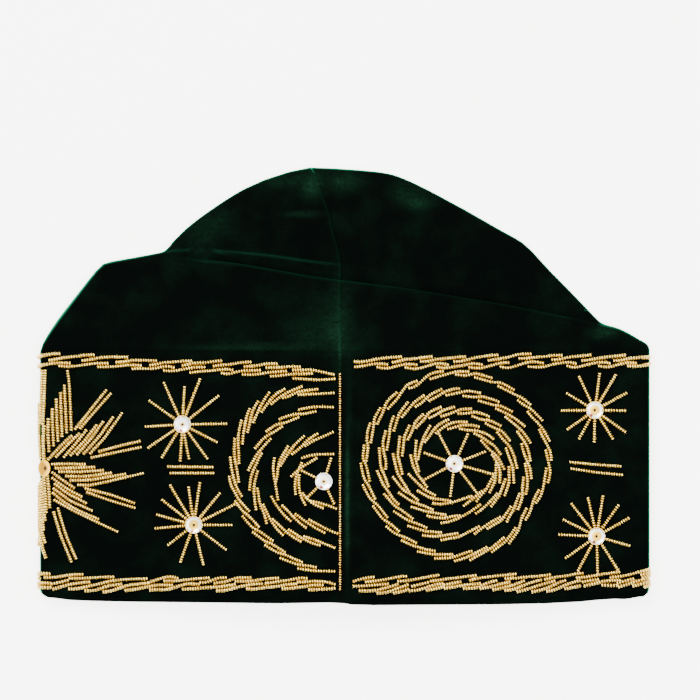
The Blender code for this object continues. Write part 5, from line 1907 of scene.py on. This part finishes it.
# %% String the seam
SEAM_PITCH = 1.16 * MM
SEAM_TILT = 0.3
SEAM_UNEVEN = 0.13
seam_line = photo_line((340.2, 374.5), (340.3, 430.0), (340.6, 500.0), (340.9, 588.5))
seam_beads = string_beads(
    "seam_beads",
    [strand("front", seam_line, arch=0.0)],
    seed=12,
    pitch=SEAM_PITCH,
    finish=seam_gold,
    shape=small_bead,
    tilt=SEAM_TILT,
    uneven=SEAM_UNEVEN,
)
beadwork.append((seam_beads, ()))

# %% Let the beads ride on the hat
for piece, nodes in beadwork:
    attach(piece, "root")
    if nodes:
        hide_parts(*nodes)
bpy.data.objects.remove(bead)
bpy.data.objects.remove(small_bead)

# %% [markdown]
# ## Cupped sequins
# A sequin is a thin round cup of pressed film with a hole in its middle. These are pearly white, three of
# them with gold in the cup, and each has a small painted red glint near its rim, a painted reflection. The
# one on the left fold is clear gold. The pattern is drawn on each sequin's own UV map, a flat circle round
# its hole.

# %% Material: pearly pressed film
# Colour, place and size of a small painted red glint near each sequin's rim.
RED_GLINT = "#8e3010"
GLINT_PLACE = (0.42, 0.14)
GLINT_INSIDE = 0.07
GLINT_OUTSIDE = 0.13
DISC_MIDDLE = (0.5, 0.5)


def disc_distance(tree, middle):
    flat = add(tree, "ShaderNodeUVMap", uv_map="disc").outputs["UV"]
    return add(
        tree,
        "ShaderNodeVectorMath",
        {0: flat, 1: (middle[0], middle[1], 0.0)},
        operation="DISTANCE",
    ).outputs["Value"]


def pearly_film(name, shades):
    """A pearly finish: shades are pairs of a distance from the hole and a colour."""
    material, tree, shader = new_material(name)
    ramp = add(tree, "ShaderNodeValToRGB", {"Fac": disc_distance(tree, DISC_MIDDLE)})
    for position, _ in shades[2:]:
        ramp.color_ramp.elements.new(position)
    for element, (position, shade) in zip(ramp.color_ramp.elements, shades):
        element.position = position
        element.color = colour(shade)
    # The painted red glint is mixed over the film's colour.
    glint_away = disc_distance(tree, GLINT_PLACE)
    mark = add(
        tree,
        "ShaderNodeMapRange",
        {
            "Value": glint_away,
            "From Min": GLINT_INSIDE,
            "From Max": GLINT_OUTSIDE,
            "To Min": 1.0,
            "To Max": 0.0,
        },
    )
    film = add(
        tree,
        "ShaderNodeMix",
        {"Factor": mark.outputs["Result"], 6: ramp.outputs["Color"], 7: colour(RED_GLINT)},
        data_type="RGBA",
    )
    tree.links.new(film.outputs[2], shader.inputs["Base Color"])
    shader.inputs["Metallic"].default_value = 0.55
    shader.inputs["Roughness"].default_value = 0.3
    shader.inputs["Coat Weight"].default_value = 0.3
    shader.inputs["Coat Roughness"].default_value = 0.1
    return material


pearl = pearly_film(
    "pearly_pressed_film",
    (
        (0.06, "#4a3408"), (0.10, "#d8b050"), (0.16, "#fbf4dc"), (0.24, "#fffefc"),
        (0.37, "#fffefe"), (0.40, "#d6ccd2"), (0.43, "#fffefe"), (0.50, "#fbf8f2"),
    ),
)
gold_pearl = pearly_film(
    "pearly_film_with_gold_cup",
    (
        (0.06, "#2c2606"), (0.10, "#b88a08"), (0.17, "#e8bc1c"), (0.24, "#d8a408"),
        (0.29, "#f0d468"), (0.33, "#fffefc"), (0.44, "#fffefe"), (0.50, "#f6f0dc"),
    ),
)

# %% Material: clear gold pressed film
amber, tree, shader = new_material("clear_gold_pressed_film")
ramp = add(tree, "ShaderNodeValToRGB", {"Fac": disc_distance(tree, DISC_MIDDLE)})
ramp.color_ramp.elements[0].position = 0.1
ramp.color_ramp.elements[0].color = colour("#5b3d08")
ramp.color_ramp.elements[1].position = 0.48
ramp.color_ramp.elements[1].color = colour("#f2b600")
ramp.color_ramp.elements.new(0.2).color = colour("#dc9c00")
tree.links.new(ramp.outputs["Color"], shader.inputs["Base Color"])
shader.inputs["Metallic"].default_value = 0.5
shader.inputs["Roughness"].default_value = 0.3

# %% Press the sequins
SEQUIN_RIM = 4.36
SEQUIN_PROFILE = (
    # radius and height in mm: top side from the hole outwards, then the underside back
    (0.55, 0.50), (0.75, 0.42), (1.5, 0.40), (2.3, 0.48), (3.2, 0.72), (3.9, 0.95), (4.3, 1.12),
    (SEQUIN_RIM, 1.06), (3.95, 0.78), (3.2, 0.52), (2.3, 0.28), (1.5, 0.2), (0.75, 0.2), (0.5, 0.34),
)
SEQUIN_SIDES = 30
SEQUIN_SIZE = 0.94
SEQUIN_LIFT = 0.55 * MM
BACK_SEQUIN_LIFT = 0.2 * MM
# Each sequin is turned this much further than the one before, in degrees, so the painted red glints differ.
GLINT_TURN = 11.0
FRONT_SEQUINS = {
    "sequin_star_upper_left": (182.8, 424.3),
    "sequin_half_rosette": (323.9, 481.2),
    "sequin_rosette": (454.0, 463.6),
}
FRONT_GOLD_SEQUINS = {
    "sequin_star_lower_left": (194.3, 524.7),
    "sequin_star_lower_right": (596.3, 536.2),
    "sequin_star_upper_right": (594.5, 410.2),
}
BACK_SEQUINS = {
    "sequin_back_burst": (565.9, 468.2),
    "sequin_back_star_upper_right": (431.9, 419.1),
    "sequin_back_star_lower_right": (431.9, 530.4),
    "sequin_back_rosette": (306.1, 466.9),
    "sequin_back_star_upper_left": (172.1, 419.1),
    "sequin_back_star_lower_left": (172.1, 530.4),
}


def press_sequin(shape, face, pixel, turn_degrees, lift, up=None):
    x, y = from_photo(*pixel)
    middle = on_cloth(face, x, y, lift)
    tilt = Vector((0.0, 0.0, 1.0)).rotation_difference(up or cloth_normal(face, x, y))
    disc = shape.loops.layers.uv["disc"]
    flat_spots = {}
    rings = []
    for radius, height in SEQUIN_PROFILE:
        ring = []
        for i in range(SEQUIN_SIDES):
            angle = 2.0 * math.pi * i / SEQUIN_SIDES
            flat = Vector((radius * math.cos(angle), radius * math.sin(angle), height)) * MM * SEQUIN_SIZE
            vert = shape.verts.new(middle + tilt @ flat)
            drawn = angle + math.radians(turn_degrees)
            share = radius / SEQUIN_RIM / 2.0
            flat_spots[vert] = (0.5 + share * math.cos(drawn), 0.5 + share * math.sin(drawn))
            ring.append(vert)
        rings.append(ring)
    for lower, upper in zip(rings, rings[1:] + rings[:1]):
        for i in range(SEQUIN_SIDES):
            j = (i + 1) % SEQUIN_SIDES
            made = shape.faces.new((lower[j], lower[i], upper[i], upper[j]))
            for loop in made.loops:
                loop[disc].uv = flat_spots[loop.vert]


def sequin_piece(name, face, places, finish, lift, up=None):
    shape = bmesh.new()
    shape.loops.layers.uv.new("disc")
    for number, pixel in enumerate(places.values()):
        press_sequin(shape, face, pixel, GLINT_TURN * number, lift, up)
    bmesh.ops.recalc_face_normals(shape, faces=shape.faces)
    piece = finish_mesh(name, shape, (finish,))
    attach(piece, "root")
    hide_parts(*places)
    return piece


sequin_piece("pearl_sequins_front", "front", FRONT_SEQUINS, pearl, SEQUIN_LIFT)
sequin_piece("gold_pearl_sequins_front", "front", FRONT_GOLD_SEQUINS, gold_pearl, SEQUIN_LIFT)
sequin_piece("pearl_sequins_back", "back", BACK_SEQUINS, pearl, BACK_SEQUIN_LIFT)
FOLD_SEQUIN = {"sequin_left_fold": (46.0, 468.2)}
FOLD_LEAN = math.radians(42.0)
over_fold = Vector((-math.sin(FOLD_LEAN), 0.0, math.cos(FOLD_LEAN)))
sequin_piece("amber_sequin", "front", FOLD_SEQUIN, amber, SEQUIN_LIFT, over_fold)

# %% [markdown]
# ## Table, light and camera
# The photograph is a flat lay: the camera looks straight down on a white table in soft light from above.
# So the sky is bright overhead and dim at the horizon, which leaves the beads bright along their middle
# and golden brown at their sides. The table is burnt out to white in the photograph, so it glows a little
# by itself.

# %% White table
TABLE_SIZE = 1.6
TABLE_GLOW = 4.2
PAINT_GRAIN = 60.0
table_material, tree, shader = new_material("white_painted_table")
place = add(tree, "ShaderNodeTexCoord").outputs["Object"]
paint = add(tree, "ShaderNodeTexNoise", {"Vector": place, "Scale": PAINT_GRAIN, "Detail": 2.0})
shade = add(
    tree,
    "ShaderNodeMix",
    {"Factor": paint.outputs["Fac"], 6: colour("#f7f6f4"), 7: colour("#fbfbfa")},
    data_type="RGBA",
)
tree.links.new(shade.outputs[2], shader.inputs["Base Color"])
shader.inputs["Roughness"].default_value = 0.8
shader.inputs["Emission Color"].default_value = colour("#fffdfb")
shader.inputs["Emission Strength"].default_value = TABLE_GLOW
table_mesh = bpy.data.meshes.new("white_table")
half = TABLE_SIZE / 2.0
corners = [(-half, -half, 0.0), (half, -half, 0.0), (half, half, 0.0), (-half, half, 0.0)]
table_mesh.from_pydata(corners, [], [(0, 1, 2, 3)])
table_mesh.materials.append(table_material)
white_table = bpy.data.objects.new("white_table", table_mesh)
bpy.context.scene.collection.objects.link(white_table)

# %% Soft studio light
SKY_DIM = 0.24
SKY_BRIGHT = 3.9
KEY_WATTS = 42.0
FILL_WATTS = 20.0
HAT_MIDDLE = (0.0, 0.0, 0.0)
world = bpy.data.worlds.new("studio")
bpy.context.scene.world = world
world.use_nodes = True
background = world.node_tree.nodes["Background"]
background.inputs["Color"].default_value = (1.0, 1.0, 1.0, 1.0)
direction = add(world.node_tree, "ShaderNodeTexCoord").outputs["Generated"]
upwards = add(world.node_tree, "ShaderNodeSeparateXYZ", {"Vector": direction}).outputs["Z"]
glow = add(
    world.node_tree,
    "ShaderNodeMapRange",
    {"Value": upwards, "From Min": 0.5, "From Max": 1.0, "To Min": SKY_DIM, "To Max": SKY_BRIGHT},
    interpolation_type="SMOOTHSTEP",
)
world.node_tree.links.new(glow.outputs["Result"], background.inputs["Strength"])


def soft_box(name, spot, target, size, watts):
    """A square lamp at a spot, turned to its target."""
    lamp = bpy.data.lights.new(name, "AREA")
    lamp.shape = "SQUARE"
    lamp.size = size
    lamp.energy = watts
    made = bpy.data.objects.new(name, lamp)
    made.location = spot
    made.rotation_euler = (Vector(target) - Vector(spot)).to_track_quat("-Z", "Y").to_euler()
    bpy.context.scene.collection.objects.link(made)


soft_box("key_light", (-0.55, 0.75, 1.3), HAT_MIDDLE, 0.7, KEY_WATTS)
soft_box("fill_light", (0.8, -0.3, 1.2), HAT_MIDDLE, 1.0, FILL_WATTS)

# %% Camera straight above the hat
VIEW_WIDTH = 338.5 * MM
VIEW_MIDDLE = (2.9 * MM, 16.9 * MM)
CAMERA_DISTANCE = 4.0
# The plane, above the table, in which a pixel has just the size that was measured.
EXACT_HEIGHT = 8.0 * MM
SENSOR = 36.0
lens = bpy.data.cameras.new("photo_camera")
lens.sensor_width = SENSOR
lens.lens = SENSOR * CAMERA_DISTANCE / VIEW_WIDTH
lens.clip_end = 20.0
photo_camera = bpy.data.objects.new("photo_camera", lens)
photo_camera.location = (VIEW_MIDDLE[0], VIEW_MIDDLE[1], CAMERA_DISTANCE + EXACT_HEIGHT)
bpy.context.scene.collection.objects.link(photo_camera)
bpy.context.scene.camera = photo_camera
print("Lens in mm:", round(lens.lens, 1))
